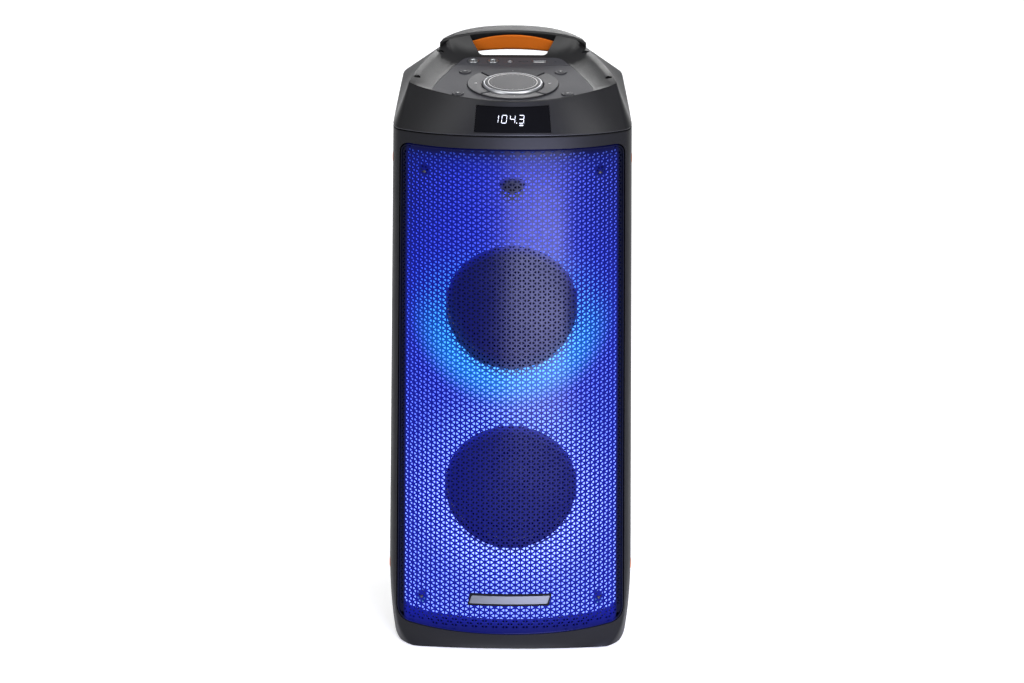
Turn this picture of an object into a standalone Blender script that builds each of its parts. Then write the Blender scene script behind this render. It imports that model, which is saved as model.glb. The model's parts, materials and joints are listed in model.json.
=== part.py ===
"""Party speaker: a tall tower with two woofers, a control deck and a handle on top.

X runs to the right, the front faces -Y and Z is up. The origin is the middle of the
footprint at floor level. Lengths are metres. A depth is measured backwards from the
middle of the grille's front.
"""

import math

import bmesh
import bpy
from mathutils import Vector

# Overall frame
FRONT = 0.1281
GAP = 0.0003
WALL = 0.003

# Cabinet
HALF_WIDTH = 0.1318
FACE_HALF_WIDTH = 0.1238
WIDENING = 0.029
WIDENING_Z = 0.355
BODY_DEPTH = 0.256
SEAM_Z = 0.607
SEAM_DROP = 0.008
SEAM_DROP_DEPTH = 0.08
BODY_BOTTOM = 0.0018
# Height of each level of the tucked-in foot, and its share of the way to the foot
# plan, at the front and at the sides
FOOT_LEVELS = (
    (BODY_BOTTOM, 1.0, 0.66),
    (0.003, 0.90, 0.62),
    (0.0055, 0.74, 0.56),
    (0.010, 0.50, 0.49),
    (0.017, 0.25, 0.41),
    (0.0248, 0.09, 0.33),
    (0.035, 0.02, 0.24),
    (0.050, 0.0, 0.14),
    (0.070, 0.0, 0.05),
    (0.095, 0.0, 0.0),
)
FOOT_FRONT_END = 0.030
FOOT_SIDE_START = 0.052

# Grille
GRILLE_HALF_WIDTH = 0.1234
GRILLE_BOTTOM = 0.0248
GRILLE_TOP = 0.591
GRILLE_THICKNESS = 0.0016
POST_RADIUS = 0.004
POSTS = ((-0.096, 0.559), (0.096, 0.559), (-0.0975, 0.0614), (0.0975, 0.0614))

# Light panel, which follows the grille, and the flat baffle behind it
PANEL_OFFSET = 0.015
PANEL_THICKNESS = 0.0025
PANEL_HALF_WIDTH = 0.1168
PANEL_BOTTOM = 0.0375
PANEL_TOP = 0.5832
BAFFLE_FRONT = 0.0500
BAFFLE_BACK = 0.0600

# Drive units. Their own depths are measured from a plane behind the grille's front
DRIVER_PLANE = 0.0087
FLANGE_FRONT = 0.0368
FLANGE_BACK = 0.041
WOOFER_HEIGHTS = {"lower": 0.192, "upper": 0.402}
WOOFER_OPENING = 0.0723
BAFFLE_OPENING = 0.0706
TWEETER_Z = 0.544
TURN_STEPS = 24

# Top housing
RIM_Z = 0.645
RAIL_RISE = 0.003
DECK_Z = 0.643
DECK_THICKNESS = 0.004
BAY_FLOOR_Z = 0.612
TROUGH_HALF_WIDTH = 0.0475
TROUGH_FRONT_HALF_WIDTH = 0.037
TROUGH_FRONT = 0.1645
TROUGH_FULL_WIDTH_DEPTH = 0.187
TROUGH_FLOOR_Z = 0.615

# Handle
CROWN_TOP = 0.6636
CROWN_BASE = RIM_Z + RAIL_RISE + GAP
CROWN_HALF_WIDTH = 0.0805
CROWN_ARCH = 1.36
LIP_ARCH = 2.3
GRIP_HALF_WIDTH = 0.0468

# Controls
KNOB_DEPTH = 0.0696
KNOB_RADIUS = 0.0337
KEY_INNER = 0.0343
KEY_OUTER = 0.0503
KEY_BOTTOM = 0.638
KEY_TOP = 0.6448
BUTTON_RADIUS = 0.0067
BUTTONS = {
    "button_rear_left": (-0.0525, 0.110),
    "button_rear_right": (0.0525, 0.110),
    "button_front_left": (-0.060, 0.0383),
    "button_front_right": (0.060, 0.0383),
}
STRIP_DEPTH = 0.133
MIC_JACKS = {"mic_jack_left": -0.0436, "mic_jack_right": -0.0218}
JACK_DEPTH = 0.1455

# Rear fittings
PANEL_REAR_HALF_WIDTH = 0.085
REAR_PANEL_BOTTOM = 0.070
REAR_PANEL_TOP = 0.500
PORT_Z = 0.440
PORT_RADIUS = 0.024
REAR_PROUD = 0.258
SWITCH_X = -0.030
SWITCH_DEPTH = 0.2505
INLET_X = 0.030
POWER_Z = 0.105
SWITCH_TILT = math.radians(7)

FEET = ((-0.082, 0.055), (0.082, 0.055), (-0.082, 0.205), (0.082, 0.205))
BUMPER_X = 0.1295
BUMPER_DEPTH = 0.115
BUMPER_HEIGHTS = {"lower": 0.0675, "upper": 0.5425}


def fresh_collection(name):
    """An empty collection in the scene."""
    found = bpy.data.collections.get(name) or bpy.data.collections.new(name)
    if name not in bpy.context.scene.collection.children:
        bpy.context.scene.collection.children.link(found)
    return found


for old in list(bpy.data.objects):
    bpy.data.objects.remove(old)
PARTS = fresh_collection("party_speaker")
CUTTERS = fresh_collection("cutters")


def material(name, colour, roughness, metallic=0.0):
    """A Principled material with one colour."""
    made = bpy.data.materials.new(name)
    made.use_nodes = True
    shader = made.node_tree.nodes["Principled BSDF"]
    shader.inputs["Base Color"].default_value = (*colour, 1.0)
    shader.inputs["Roughness"].default_value = roughness
    shader.inputs["Metallic"].default_value = metallic
    return made


BLACK_PLASTIC = material("black_plastic", (0.016, 0.017, 0.019), 0.45)
DECK_PLASTIC = material("deck_plastic", (0.10, 0.10, 0.115), 0.5)
KEY_PLASTIC = material("key_plastic", (0.14, 0.14, 0.155), 0.45)
ORANGE = material("orange_rubber", (0.72, 0.13, 0.008), 0.55)
GRILLE_PAINT = material("grille_paint", (0.02, 0.02, 0.024), 0.4, 0.6)
DIFFUSER = material("light_diffuser", (0.02, 0.03, 0.75), 0.35)
GLOSS = material("gloss_window", (0.005, 0.005, 0.006), 0.08)
KNOB_METAL = material("knob_metal", (0.55, 0.56, 0.58), 0.25, 0.9)
STEEL = material("steel", (0.35, 0.36, 0.38), 0.35, 0.9)
CHROME = material("chrome", (0.75, 0.76, 0.78), 0.12, 1.0)
FERRITE = material("ferrite", (0.05, 0.05, 0.055), 0.6)
CONE_PAPER = material("cone_paper", (0.03, 0.03, 0.033), 0.7)
RUBBER = material("rubber", (0.02, 0.02, 0.02), 0.8)
BOARD = material("baffle_board", (0.06, 0.055, 0.05), 0.8)
CIRCUIT = material("circuit_board", (0.02, 0.16, 0.06), 0.5)
CELL_WRAP = material("cell_wrap", (0.03, 0.06, 0.25), 0.4)
COPPER = material("copper", (0.65, 0.28, 0.12), 0.35, 0.9)


def y_at(depth):
    """World Y of a depth behind the middle of the grille's front."""
    return depth - FRONT


def finish(name, bm, look, location=(0, 0, 0), rotation=(0, 0, 0), smooth=False):
    """Turn a bmesh into a named object of the part."""
    bmesh.ops.recalc_face_normals(bm, faces=bm.faces)
    mesh = bpy.data.meshes.new(name)
    bm.to_mesh(mesh)
    bm.free()
    mesh.materials.append(look)
    made = bpy.data.objects.new(name, mesh)
    made.location = location
    made.rotation_euler = rotation
    PARTS.objects.link(made)
    if smooth:
        mesh.shade_smooth()
        mesh.set_sharp_from_angle(angle=math.radians(35))
    return made


def make_cutter(made):
    """Move an object to the cutters, out of the part."""
    PARTS.objects.unlink(made)
    CUTTERS.objects.link(made)
    made.hide_render = True
    made.display_type = "WIRE"
    return made


def combine(target, tool, operation="DIFFERENCE"):
    """Cut, join or trim target with a tool object that isn't part of the speaker."""
    make_cutter(tool)
    modifier = target.modifiers.new(tool.name, "BOOLEAN")
    modifier.operation = operation
    modifier.solver = "EXACT"
    modifier.object = tool


def box(name, low, high, look, bevel=0.0):
    """A block between two corners, each given as x, depth, z."""
    low = Vector((low[0], y_at(low[1]), low[2]))
    high = Vector((high[0], y_at(high[1]), high[2]))
    size = high - low
    bm = bmesh.new()
    bmesh.ops.create_cube(bm, size=1.0)
    bmesh.ops.scale(bm, vec=size, verts=bm.verts)
    made = finish(name, bm, look, location=(low + high) / 2)
    if bevel:
        rounded = made.modifiers.new("rounded", "BEVEL")
        rounded.width = bevel
        rounded.segments = 2
    return made


def prism_up(name, outline, low, high, look, location=(0, 0, 0)):
    """An upright prism on a plan outline of x, y points."""
    bm = bmesh.new()
    face = bm.faces.new([bm.verts.new((x, y, low)) for x, y in outline])
    grown = bmesh.ops.extrude_face_region(bm, geom=[face])
    moved = [v for v in grown["geom"] if isinstance(v, bmesh.types.BMVert)]
    bmesh.ops.translate(bm, vec=(0, 0, high - low), verts=moved)
    return finish(name, bm, look, location)


def prism_back(name, outline, near, far, look, location=(0, 0, 0)):
    """A prism that runs back from near to far on a front outline of x, z points."""
    bm = bmesh.new()
    face = bm.faces.new([bm.verts.new((x, y_at(near), z)) for x, z in outline])
    grown = bmesh.ops.extrude_face_region(bm, geom=[face])
    moved = [v for v in grown["geom"] if isinstance(v, bmesh.types.BMVert)]
    bmesh.ops.translate(bm, vec=(0, far - near, 0), verts=moved)
    return finish(name, bm, look, location)


def turned(name, profile, look, location, facing_front=False, steps=TURN_STEPS):
    """A turned piece. The profile is a closed loop of radius, height points, or an open
    one that starts and ends on the axis. Facing front, its height is a depth."""
    pairs = zip(profile, profile[1:] + profile[:1])
    area = sum(a[0] * b[1] - b[0] * a[1] for a, b in pairs)
    if area > 0:
        profile = profile[::-1]
    bm = bmesh.new()
    verts = [bm.verts.new((radius, 0, height)) for radius, height in profile]
    for first, second in zip(verts, verts[1:]):
        bm.edges.new((first, second))
    if profile[0][0] > 0:
        bm.edges.new((verts[-1], verts[0]))
    mesh = bpy.data.meshes.new(name)
    bm.to_mesh(mesh)
    bm.free()
    mesh.materials.append(look)
    made = bpy.data.objects.new(name, mesh)
    made.location = location
    if facing_front:
        made.rotation_euler = (-math.pi / 2, 0, 0)
    PARTS.objects.link(made)
    screw = made.modifiers.new("turn", "SCREW")
    screw.steps = steps
    screw.render_steps = steps
    screw.use_merge_vertices = True
    screw.merge_threshold = 0.00001
    screw.use_smooth_shade = True
    return made


def rod_cutter(name, radius, near, far, x, z, steps=TURN_STEPS):
    """A round cutter that runs from front to back."""
    bm = bmesh.new()
    bmesh.ops.create_cone(
        bm,
        cap_ends=True,
        segments=steps,
        radius1=radius,
        radius2=radius,
        depth=far - near,
    )
    middle = (x, y_at((near + far) / 2), z)
    return finish(name, bm, BLACK_PLASTIC, middle, (math.pi / 2, 0, 0))


def round_cutter(name, radius, low, high, x, depth, steps=TURN_STEPS):
    """A round cutter that stands upright."""
    bm = bmesh.new()
    bmesh.ops.create_cone(
        bm,
        cap_ends=True,
        segments=steps,
        radius1=radius,
        radius2=radius,
        depth=high - low,
    )
    return finish(name, bm, BLACK_PLASTIC, (x, y_at(depth), (low + high) / 2))


def bend(start, pull, end, count):
    """Points of a quadratic curve after its start, up to and with its end."""
    points = []
    for i in range(1, count + 1):
        t = i / count
        a, b, c = (1 - t) ** 2, 2 * t * (1 - t), t * t
        points.append(tuple(a * p + b * q + c * r for p, q, r in zip(start, pull, end)))
    return points


def face_depth(x):
    """Depth of the cabinet's curved front at x."""
    return 1.615 * x**2 + 54 * x**4


def rim_depth(x):
    """Depth of the rim's front at x: a tighter curve that leans back."""
    return 0.008 + 4.5 * x**2


def plan(half_width, front, corner, side, rear):
    """Plan outline of x, depth points, from the front middle round the right side.

    front gives depth from x up to half_width; corner, side and rear are each the pull
    and the end of a bend; the last end is joined straight to the middle of the rear."""
    fronts = 9
    half = [(half_width * i / fronts, 0) for i in range(fronts + 1)]
    half = [(x, front(x)) for x, _ in half]
    for (pull, end), count in ((corner, 4), (side, 4), (rear, 4)):
        half += bend(half[-1], pull, end, count)
    x_end, d_end = half[-1]
    half += [(x_end * share, d_end) for share in (0.5, 0.0)]
    return half + [(-x, d) for x, d in reversed(half[1:-1])]


def inset(outline, distance):
    """The outline moved inwards by a distance."""
    moved = []
    for i, here in enumerate(outline):
        before = Vector(outline[i - 1])
        after = Vector(outline[(i + 1) % len(outline)])
        along_in = (Vector(here) - before).normalized()
        along_out = (after - Vector(here)).normalized()
        along = (along_in + along_out).normalized()
        inward = Vector((-along.y, along.x))
        reach = distance / max(0.5, along.dot(along_out))
        moved.append(tuple(Vector(here) + inward * reach))
    return moved


BODY_PLAN = plan(
    FACE_HALF_WIDTH,
    face_depth,
    ((HALF_WIDTH, 0.0440), (HALF_WIDTH, 0.062)),
    ((0.1295, 0.110), (0.1215, 0.226)),
    ((0.1185, BODY_DEPTH), (0.088, BODY_DEPTH)),
)
FOOT_PLAN = plan(
    0.1035,
    lambda x: 0.0165 + 0.75 * x**2,
    ((0.1128, 0.0320), (0.1188, 0.066)),
    ((0.1288, 0.118), (0.1170, 0.226)),
    ((0.1140, 0.250), (0.085, 0.250)),
)
RIM_PLAN = plan(
    0.1134,
    rim_depth,
    ((0.1152, 0.0682), (0.1130, 0.0740)),
    ((0.1050, 0.1190), (0.0815, 0.179)),
    ((0.0740, 0.206), (0.050, 0.2135)),
)
RAIL_PLAN = plan(
    0.108,
    lambda x: rim_depth(x) + 0.0016,
    ((0.1094, 0.0650), (0.1070, 0.0725)),
    ((0.0985, 0.1170), (0.0750, 0.176)),
    ((0.0700, 0.1865), (0.056, 0.187)),
)
DECK_PLAN = plan(
    0.084,
    lambda x: rim_depth(x) + 0.0034,
    ((0.0905, 0.0500), (0.0875, 0.060)),
    ((0.0770, 0.1000), (0.0570, 0.149)),
    ((0.0530, 0.1590), (0.044, 0.1595)),
)


def ease(share):
    """A smooth start that levels out at one."""
    share = min(max(share, 0.0), 1.0)
    return share * (2 - share)


def seam_height(depth):
    """Height of the seam between cabinet and top housing."""
    return SEAM_Z - SEAM_DROP * ease(depth / SEAM_DROP_DEPTH)


def rail_height(depth):
    """Height of the rim, which rises a little into the side rails."""
    return RIM_Z + RAIL_RISE * ease((depth - 0.060) / 0.040)


def widen(z):
    """How much wider the body is at a height than at its middle height."""
    return 1 + WIDENING * (WIDENING_Z - z)


def foot_outline(front, side):
    """The plan outline of the foot, from its shares of the way to the foot plan."""
    outline = []
    for (xa, da), (xb, db) in zip(BODY_PLAN, FOOT_PLAN):
        back = (da - FOOT_FRONT_END) / (FOOT_SIDE_START - FOOT_FRONT_END)
        back = min(max(back, 0.0), 1.0)
        share = front + (side - front) * back * back * (3 - 2 * back)
        outline.append((xa + (xb - xa) * share, da + (db - da) * share))
    return outline


def ring(outline, height):
    """A ring of points on a plan outline, at a height or a height by depth."""
    if callable(height):
        return [(x, y_at(d), height(d)) for x, d in outline]
    return [(x, y_at(d), height) for x, d in outline]


def body_ring(outline, height):
    """A ring on a plan outline of the body, which widens towards its foot."""
    return [(x * widen(z), y, z) for x, y, z in ring(outline, height)]


def loft(name, rings, look):
    """A closed skin over rings of equal count, with both ends filled."""
    bm = bmesh.new()
    rows = [[bm.verts.new(point) for point in points] for points in rings]
    for low, high in zip(rows, rows[1:]):
        for i in range(len(low)):
            j = (i + 1) % len(low)
            bm.faces.new((low[i], low[j], high[j], high[i]))
    bm.faces.new(list(reversed(rows[0])))
    bm.faces.new(rows[-1])
    bmesh.ops.triangulate(bm, faces=bm.faces)
    return finish(name, bm, look)


def arched_outline(half, lowest, highest, low_round, high_round):
    """Front outline whose bottom and top are low arcs: x, z points."""

    def bottom(x):
        return lowest + 0.42 * x**2

    def top(x):
        return highest - 0.26 * x**2

    flat_low, flat_high = half - low_round, half - high_round
    right = [(flat_low * i / 4, bottom(flat_low * i / 4)) for i in range(5)]
    corner = right[-1]
    right += bend(corner, (half, corner[1]), (half, corner[1] + low_round), 5)
    start = (half, top(flat_high) - high_round)
    right.append(start)
    right += bend(start, (half, top(flat_high)), (flat_high, top(flat_high)), 5)
    right += [(flat_high * i / 4, top(flat_high * i / 4)) for i in (3, 2, 1, 0)]
    outline = right + [(-x, z) for x, z in reversed(right[1:-1])]
    return [(x * widen(z), z) for x, z in outline]


def front_outline(margin):
    """Outline of the grille as seen from the front, grown by a margin: x, z points."""
    half = GRILLE_HALF_WIDTH + margin
    low, high = GRILLE_BOTTOM - margin, GRILLE_TOP + margin
    return arched_outline(half, low, high, 0.018 + margin, 0.013 + margin)


def rounded_front(half_width, low, high, radius):
    """A rectangle with round corners: x, z points."""
    points = []
    corners = (
        (half_width - radius, high - radius, 0),
        (radius - half_width, high - radius, 90),
        (radius - half_width, low + radius, 180),
        (half_width - radius, low + radius, 270),
    )
    for x, z, start in corners:
        for step in range(4):
            angle = math.radians(start + 30 * step)
            points.append((x + radius * math.cos(angle), z + radius * math.sin(angle)))
    return points


def build_cabinet():
    """The body shell, open at the front, at the top and at the rear panel."""
    rings = [
        body_ring(foot_outline(front, side), z) for z, front, side in FOOT_LEVELS
    ]
    rings.append(body_ring(BODY_PLAN, seam_height))
    inner = inset(BODY_PLAN, WALL)
    rings.append(body_ring(inner, seam_height))
    rings.append(body_ring(inner, 0.098))
    for z, front, side in ((0.070, 0.0, 0.05), (0.036, 0.03, 0.24), (0.012, 0.45, 0.47)):
        rings.append(body_ring(inset(foot_outline(front, side), WALL), z))
    shell = loft("cabinet_shell", rings, BLACK_PLASTIC)
    opening = front_outline(GAP)
    combine(shell, prism_back("front_opening", opening, -0.02, 0.045, BLACK_PLASTIC))
    half = PANEL_REAR_HALF_WIDTH + GAP
    rear = rounded_front(half, REAR_PANEL_BOTTOM - GAP, REAR_PANEL_TOP + GAP, 0.008)
    combine(shell, prism_back("rear_opening", rear, 0.245, 0.27, BLACK_PLASTIC))


def curved_strip(half_width, near, far, low, high, name, look):
    """A sheet that follows the curved front between two depths behind it."""
    count = 22
    xs = [half_width * (2 * i / count - 1) for i in range(count + 1)]
    outline = [(x, face_depth(x) + near) for x in xs]
    outline += [(x, face_depth(x) + far) for x in reversed(xs)]
    return loft(name, [body_ring(outline, z) for z in (low, high)], look)


def build_grille():
    """The curved grille with its four posts, and the plain badge on it."""
    near = 0.0005
    far = near + GRILLE_THICKNESS
    sheet = curved_strip(0.130, near, far, 0.01, 0.6, "front_grille", GRILLE_PAINT)
    trim = prism_back("grille_trim", front_outline(0), -0.03, 0.06, GRILLE_PAINT)
    combine(sheet, trim, "INTERSECT")
    for number, (x, z) in enumerate(POSTS, 1):
        start = face_depth(x / widen(z)) + far + 0.0014
        end = face_depth((abs(x) - POST_RADIUS) / widen(z)) + PANEL_OFFSET - GAP
        post = rod_cutter(f"post_{number}", POST_RADIUS, start, end, x, z, 12)
        combine(sheet, post, "UNION")
    curved_strip(0.049, -0.0018, near - GAP, 0.0586, 0.0726, "badge_plate", GLOSS)


def build_light_panel():
    """The curved diffuser behind the grille, open in front of the drive units."""
    near, far = PANEL_OFFSET, PANEL_OFFSET + PANEL_THICKNESS
    panel = curved_strip(0.125, near, far, 0.02, 0.6, "led_panel", DIFFUSER)
    outline = arched_outline(PANEL_HALF_WIDTH, PANEL_BOTTOM, PANEL_TOP, 0.012, 0.010)
    trim = prism_back("panel_trim", outline, -0.03, 0.08, DIFFUSER)
    combine(panel, trim, "INTERSECT")
    for name, z in WOOFER_HEIGHTS.items():
        hole = rod_cutter(f"panel_hole_{name}", WOOFER_OPENING, 0, 0.06, 0, z)
        combine(panel, hole)
    right = [(0.0105, 0.0088), (0.014, 0.0055), (0.0135, 0), (0.009, -0.006)]
    right.append((0.003, -0.009))
    shield = right + [(-x, z) for x, z in reversed(right)]
    window = prism_back(
        "tweeter_window", shield, 0, 0.05, DIFFUSER, (0, 0, TWEETER_Z)
    )
    combine(panel, window)


def build_baffle():
    """The flat board that carries the drive units."""
    outline = rounded_front(0.1170, 0.026, 0.584, 0.020)
    baffle = prism_back("front_baffle", outline, BAFFLE_FRONT, BAFFLE_BACK, BOARD)
    for name, z in WOOFER_HEIGHTS.items():
        hole = rod_cutter(f"baffle_hole_{name}", BAFFLE_OPENING, 0.03, 0.08, 0, z)
        combine(baffle, hole)
    hole = rod_cutter("baffle_hole_tweeter", 0.023, 0.03, 0.08, 0, TWEETER_Z)
    combine(baffle, hole)


def roll(inner, outer, depth, rise, thickness, count=5):
    """Closed section of a half-roll surround, as radius, depth points."""
    middle, half = (inner + outer) / 2, (outer - inner) / 2
    angles = [math.pi * i / count for i in range(count + 1)]
    front = [
        (middle - half * math.cos(a), depth - rise * math.sin(a)) for a in angles
    ]
    back = [
        (middle - (half - 0.001) * math.cos(a), depth + thickness - rise * math.sin(a))
        for a in reversed(angles)
    ]
    return front + back


def build_woofer(side, z):
    """One woofer: basket, magnet, spider and surround, and the moving cone pieces."""
    place = (0, y_at(DRIVER_PLANE), z)
    basket = (
        (0.080, FLANGE_FRONT),
        (0.080, FLANGE_BACK),
        (0.0702, FLANGE_BACK),
        (0.0702, 0.054),
        (0.044, 0.084),
        (0.044, 0.087),
        (0.0165, 0.087),
        (0.0165, 0.085),
        (0.0415, 0.083),
        (0.0677, 0.053),
        (0.0677, 0.0403),
        (0.0697, 0.0403),
        (0.0697, FLANGE_FRONT),
    )
    turned(f"woofer_{side}_basket", basket, STEEL, place, True)
    magnet = (
        (0.0, 0.0873),
        (0.0115, 0.0873),
        (0.0115, 0.108),
        (0.020, 0.108),
        (0.020, 0.0923),
        (0.014, 0.0923),
        (0.014, 0.0873),
        (0.036, 0.0873),
        (0.036, 0.0923),
        (0.042, 0.0923),
        (0.042, 0.108),
        (0.040, 0.113),
        (0.0, 0.113),
    )
    turned(f"woofer_{side}_magnet", magnet, FERRITE, place, True)
    spider = (
        (0.0137, 0.0795),
        (0.022, 0.0785),
        (0.030, 0.0795),
        (0.038, 0.0785),
        (0.038, 0.0797),
        (0.030, 0.0807),
        (0.022, 0.0797),
        (0.0137, 0.0807),
    )
    turned(f"woofer_{side}_spider", spider, CONE_PAPER, place, True)
    surround = roll(0.0583, 0.0694, 0.0390, 0.006, 0.0011)
    turned(f"woofer_{side}_surround", surround, RUBBER, place, True)
    cone = (
        (0.0135, 0.0705),
        (0.0135, 0.0722),
        (0.0150, 0.0722),
        (0.0580, 0.0415),
        (0.0580, 0.0398),
        (0.0562, 0.0398),
        (0.0150, 0.0698),
    )
    turned(f"woofer_{side}_cone", cone, CONE_PAPER, place, True)
    cap = [(0.0, 0.0560), (0.008, 0.0568), (0.015, 0.0592), (0.0205, 0.0635)]
    cap += [(0.0195, 0.0645), (0.0145, 0.0606), (0.008, 0.0581), (0.0, 0.0573)]
    turned(f"woofer_{side}_dust_cap", cap, RUBBER, place, True)
    coil = ((0.0122, 0.068), (0.0132, 0.068), (0.0132, 0.0975), (0.0122, 0.0975))
    turned(f"woofer_{side}_voice_coil", coil, COPPER, place, True)


def build_tweeter():
    """The tweeter's face ring, its dome and its magnet."""
    place = (0, y_at(DRIVER_PLANE), TWEETER_Z)
    face = (
        (0.027, FLANGE_FRONT),
        (0.027, FLANGE_BACK),
        (0.0225, FLANGE_BACK),
        (0.0225, 0.0465),
        (0.0145, 0.0465),
        (0.0145, 0.041),
        (0.0155, FLANGE_FRONT),
    )
    turned("tweeter_face_ring", face, BLACK_PLASTIC, place, True)
    dome = [(0.0, 0.0388), (0.005, 0.0393), (0.009, 0.0409), (0.0125, 0.0442)]
    dome += [(0.0118, 0.0447), (0.0086, 0.0416), (0.005, 0.0401), (0.0, 0.0396)]
    turned("tweeter_dome", dome, CONE_PAPER, place, True)
    magnet = ((0.0, 0.0468), (0.020, 0.0468), (0.020, 0.062), (0.0, 0.062))
    turned("tweeter_magnet", magnet, FERRITE, place, True)


def band_point(share, rise, shift):
    """A point on the front band: share of its half width, share of its rise."""
    low_x, high_x = FACE_HALF_WIDTH * share, 0.1134 * share
    seam_z = seam_height(face_depth(low_x))
    low = Vector((low_x * widen(seam_z), face_depth(low_x), seam_z))
    high = Vector((high_x, rim_depth(high_x), RIM_Z))
    point = low.lerp(high, rise)
    return (point.x, y_at(point.y + shift), point.z)


def band_slab(name, half_share, low, high, near, far, look):
    """A curved slab in the front band."""
    count = 8
    sections = []
    for i in range(count + 1):
        share = half_share * (2 * i / count - 1)
        corners = ((low, near), (high, near), (high, far), (low, far))
        sections.append([band_point(share, rise, shift) for rise, shift in corners])
    return loft(name, sections, look)


def build_top_housing():
    """The sloping top housing, with the deck bay, the rails and the handle trough."""
    under = inset(BODY_PLAN, 0.008)
    bay = inset(DECK_PLAN, 0.0015)
    rings = [
        body_ring(under, lambda d: seam_height(d) + 0.003),
        body_ring(under, lambda d: seam_height(d) + GAP),
        body_ring(BODY_PLAN, lambda d: seam_height(d) + GAP),
        ring(RIM_PLAN, rail_height),
        ring(RAIL_PLAN, rail_height),
        ring(DECK_PLAN, DECK_Z),
        ring(DECK_PLAN, DECK_Z - DECK_THICKNESS - GAP),
        ring(bay, DECK_Z - DECK_THICKNESS - GAP),
        ring(bay, BAY_FLOOR_Z),
    ]
    housing = loft("top_housing", rings, BLACK_PLASTIC)
    half, front_half = TROUGH_HALF_WIDTH, TROUGH_FRONT_HALF_WIDTH
    trough_plan = (
        (-front_half, TROUGH_FRONT),
        (front_half, TROUGH_FRONT),
        (half, TROUGH_FULL_WIDTH_DEPTH),
        (half, 0.27),
        (-half, 0.27),
        (-half, TROUGH_FULL_WIDTH_DEPTH),
    )
    outline = [(x, y_at(depth)) for x, depth in trough_plan]
    trough = prism_up("trough", outline, TROUGH_FLOOR_Z, 0.68, BLACK_PLASTIC)
    combine(housing, trough)
    recess = band_slab(
        "window_recess", 0.3475, 0.105, 0.847, -0.005, 0.0023, BLACK_PLASTIC
    )
    combine(housing, recess)
    band_slab("display_window", 0.345, 0.114, 0.838, -0.0002, 0.002, GLOSS)


def lip_height(x):
    """Height of the lower edge of the handle bar's front at x."""
    return max(CROWN_TOP - 0.0042 - (CROWN_ARCH + LIP_ARCH) * x**2, CROWN_BASE + 0.0004)


def crown_section(x):
    """Closed section of the handle bar at x, as points in the world frame."""
    share = abs(x) / CROWN_HALF_WIDTH
    front = 0.1875 - 0.0115 * share**6
    rear = 0.2105 - 0.0265 * share**4
    top = CROWN_TOP - CROWN_ARCH * x**2
    lip, lip_z = 0.0033, lip_height(x)
    outline = (
        (front + lip, CROWN_BASE),
        (rear, CROWN_BASE),
        (rear, top - 0.003),
        (rear - 0.003, top),
        (front + 0.002, top),
        (front, top - 0.0015),
        (front, lip_z),
        (front + lip, lip_z),
    )
    return [(x, y_at(depth), z) for depth, z in outline]


def build_handle():
    """The arched bar across the trough and the grip round its front and underside."""
    count = 16
    xs = [CROWN_HALF_WIDTH * (2 * i / count - 1) for i in range(count + 1)]
    loft("handle_bar", [crown_section(x) for x in xs], BLACK_PLASTIC)
    sections = []
    for i in range(9):
        x = GRIP_HALF_WIDTH * (i / 4 - 1)
        top, base = lip_height(x) - GAP, CROWN_BASE - GAP
        low = 0.6415 - 1.6 * x**2
        outline = (
            (0.1865, top),
            (0.1865, low + 0.003),
            (0.1895, low),
            (0.2050, low),
            (0.2075, low + 0.002),
            (0.2075, base),
            (0.1900, base),
            (0.1900, top),
        )
        sections.append([(x, y_at(depth), z) for depth, z in outline])
    loft("handle_grip", sections, ORANGE)


def clipped(outline, low, high):
    """The part of a plan outline between two depths, cut straight across."""
    kept = []
    for i, here in enumerate(outline):
        after = outline[(i + 1) % len(outline)]
        if low <= here[1] <= high:
            kept.append(here)
        for level in (low, high):
            if (here[1] - level) * (after[1] - level) < 0:
                share = (level - here[1]) / (after[1] - here[1])
                kept.append((here[0] + share * (after[0] - here[0]), level))
    return kept


def sector(inner, outer, start, end, steps):
    """A ring sector of x, y points between two angles in radians."""
    angles = [start + (end - start) * i / steps for i in range(steps + 1)]
    points = [(outer * math.cos(a), outer * math.sin(a)) for a in angles]
    return points + [
        (inner * math.cos(a), inner * math.sin(a)) for a in reversed(angles)
    ]


def build_deck():
    """The deck plate, the jack strip behind it and the board below both."""
    low, high = DECK_Z - DECK_THICKNESS, DECK_Z
    fitted = inset(DECK_PLAN, GAP)
    front_part = clipped(fitted, 0.0, STRIP_DEPTH)
    plate = [(x, y_at(d)) for x, d in front_part]
    deck = prism_up("control_deck", plate, low, high, DECK_PLASTIC)
    hole = round_cutter("ring_hole", KEY_OUTER + GAP, 0.63, 0.66, 0, KNOB_DEPTH, 40)
    combine(deck, hole)
    for name, (x, depth) in BUTTONS.items():
        radius = BUTTON_RADIUS + GAP
        hole = round_cutter(f"{name}_hole", radius, 0.63, 0.66, x, depth, 20)
        combine(deck, hole)
    rear_part = clipped(fitted, STRIP_DEPTH + GAP, 0.2)
    strip_outline = [(x, y_at(d)) for x, d in rear_part]
    strip = prism_up("jack_strip", strip_outline, low, high, DECK_PLASTIC)
    for name, x in MIC_JACKS.items():
        hole = round_cutter(f"{name}_hole", 0.0063, 0.63, 0.66, x, JACK_DEPTH, 20)
        combine(strip, hole)
    hole = round_cutter("audio_hole", 0.0033, 0.63, 0.66, -0.0032, JACK_DEPTH, 16)
    combine(strip, hole)
    port_low = (0.0214, JACK_DEPTH - 0.0039, 0.63)
    port_high = (0.0368, JACK_DEPTH + 0.0039, 0.66)
    combine(strip, box("port_hole", port_low, port_high, BLACK_PLASTIC))
    board_plan = [(x, y_at(d)) for x, d in inset(DECK_PLAN, 0.003)]
    prism_up("control_board", board_plan, 0.6335, 0.6351, CIRCUIT)


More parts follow.
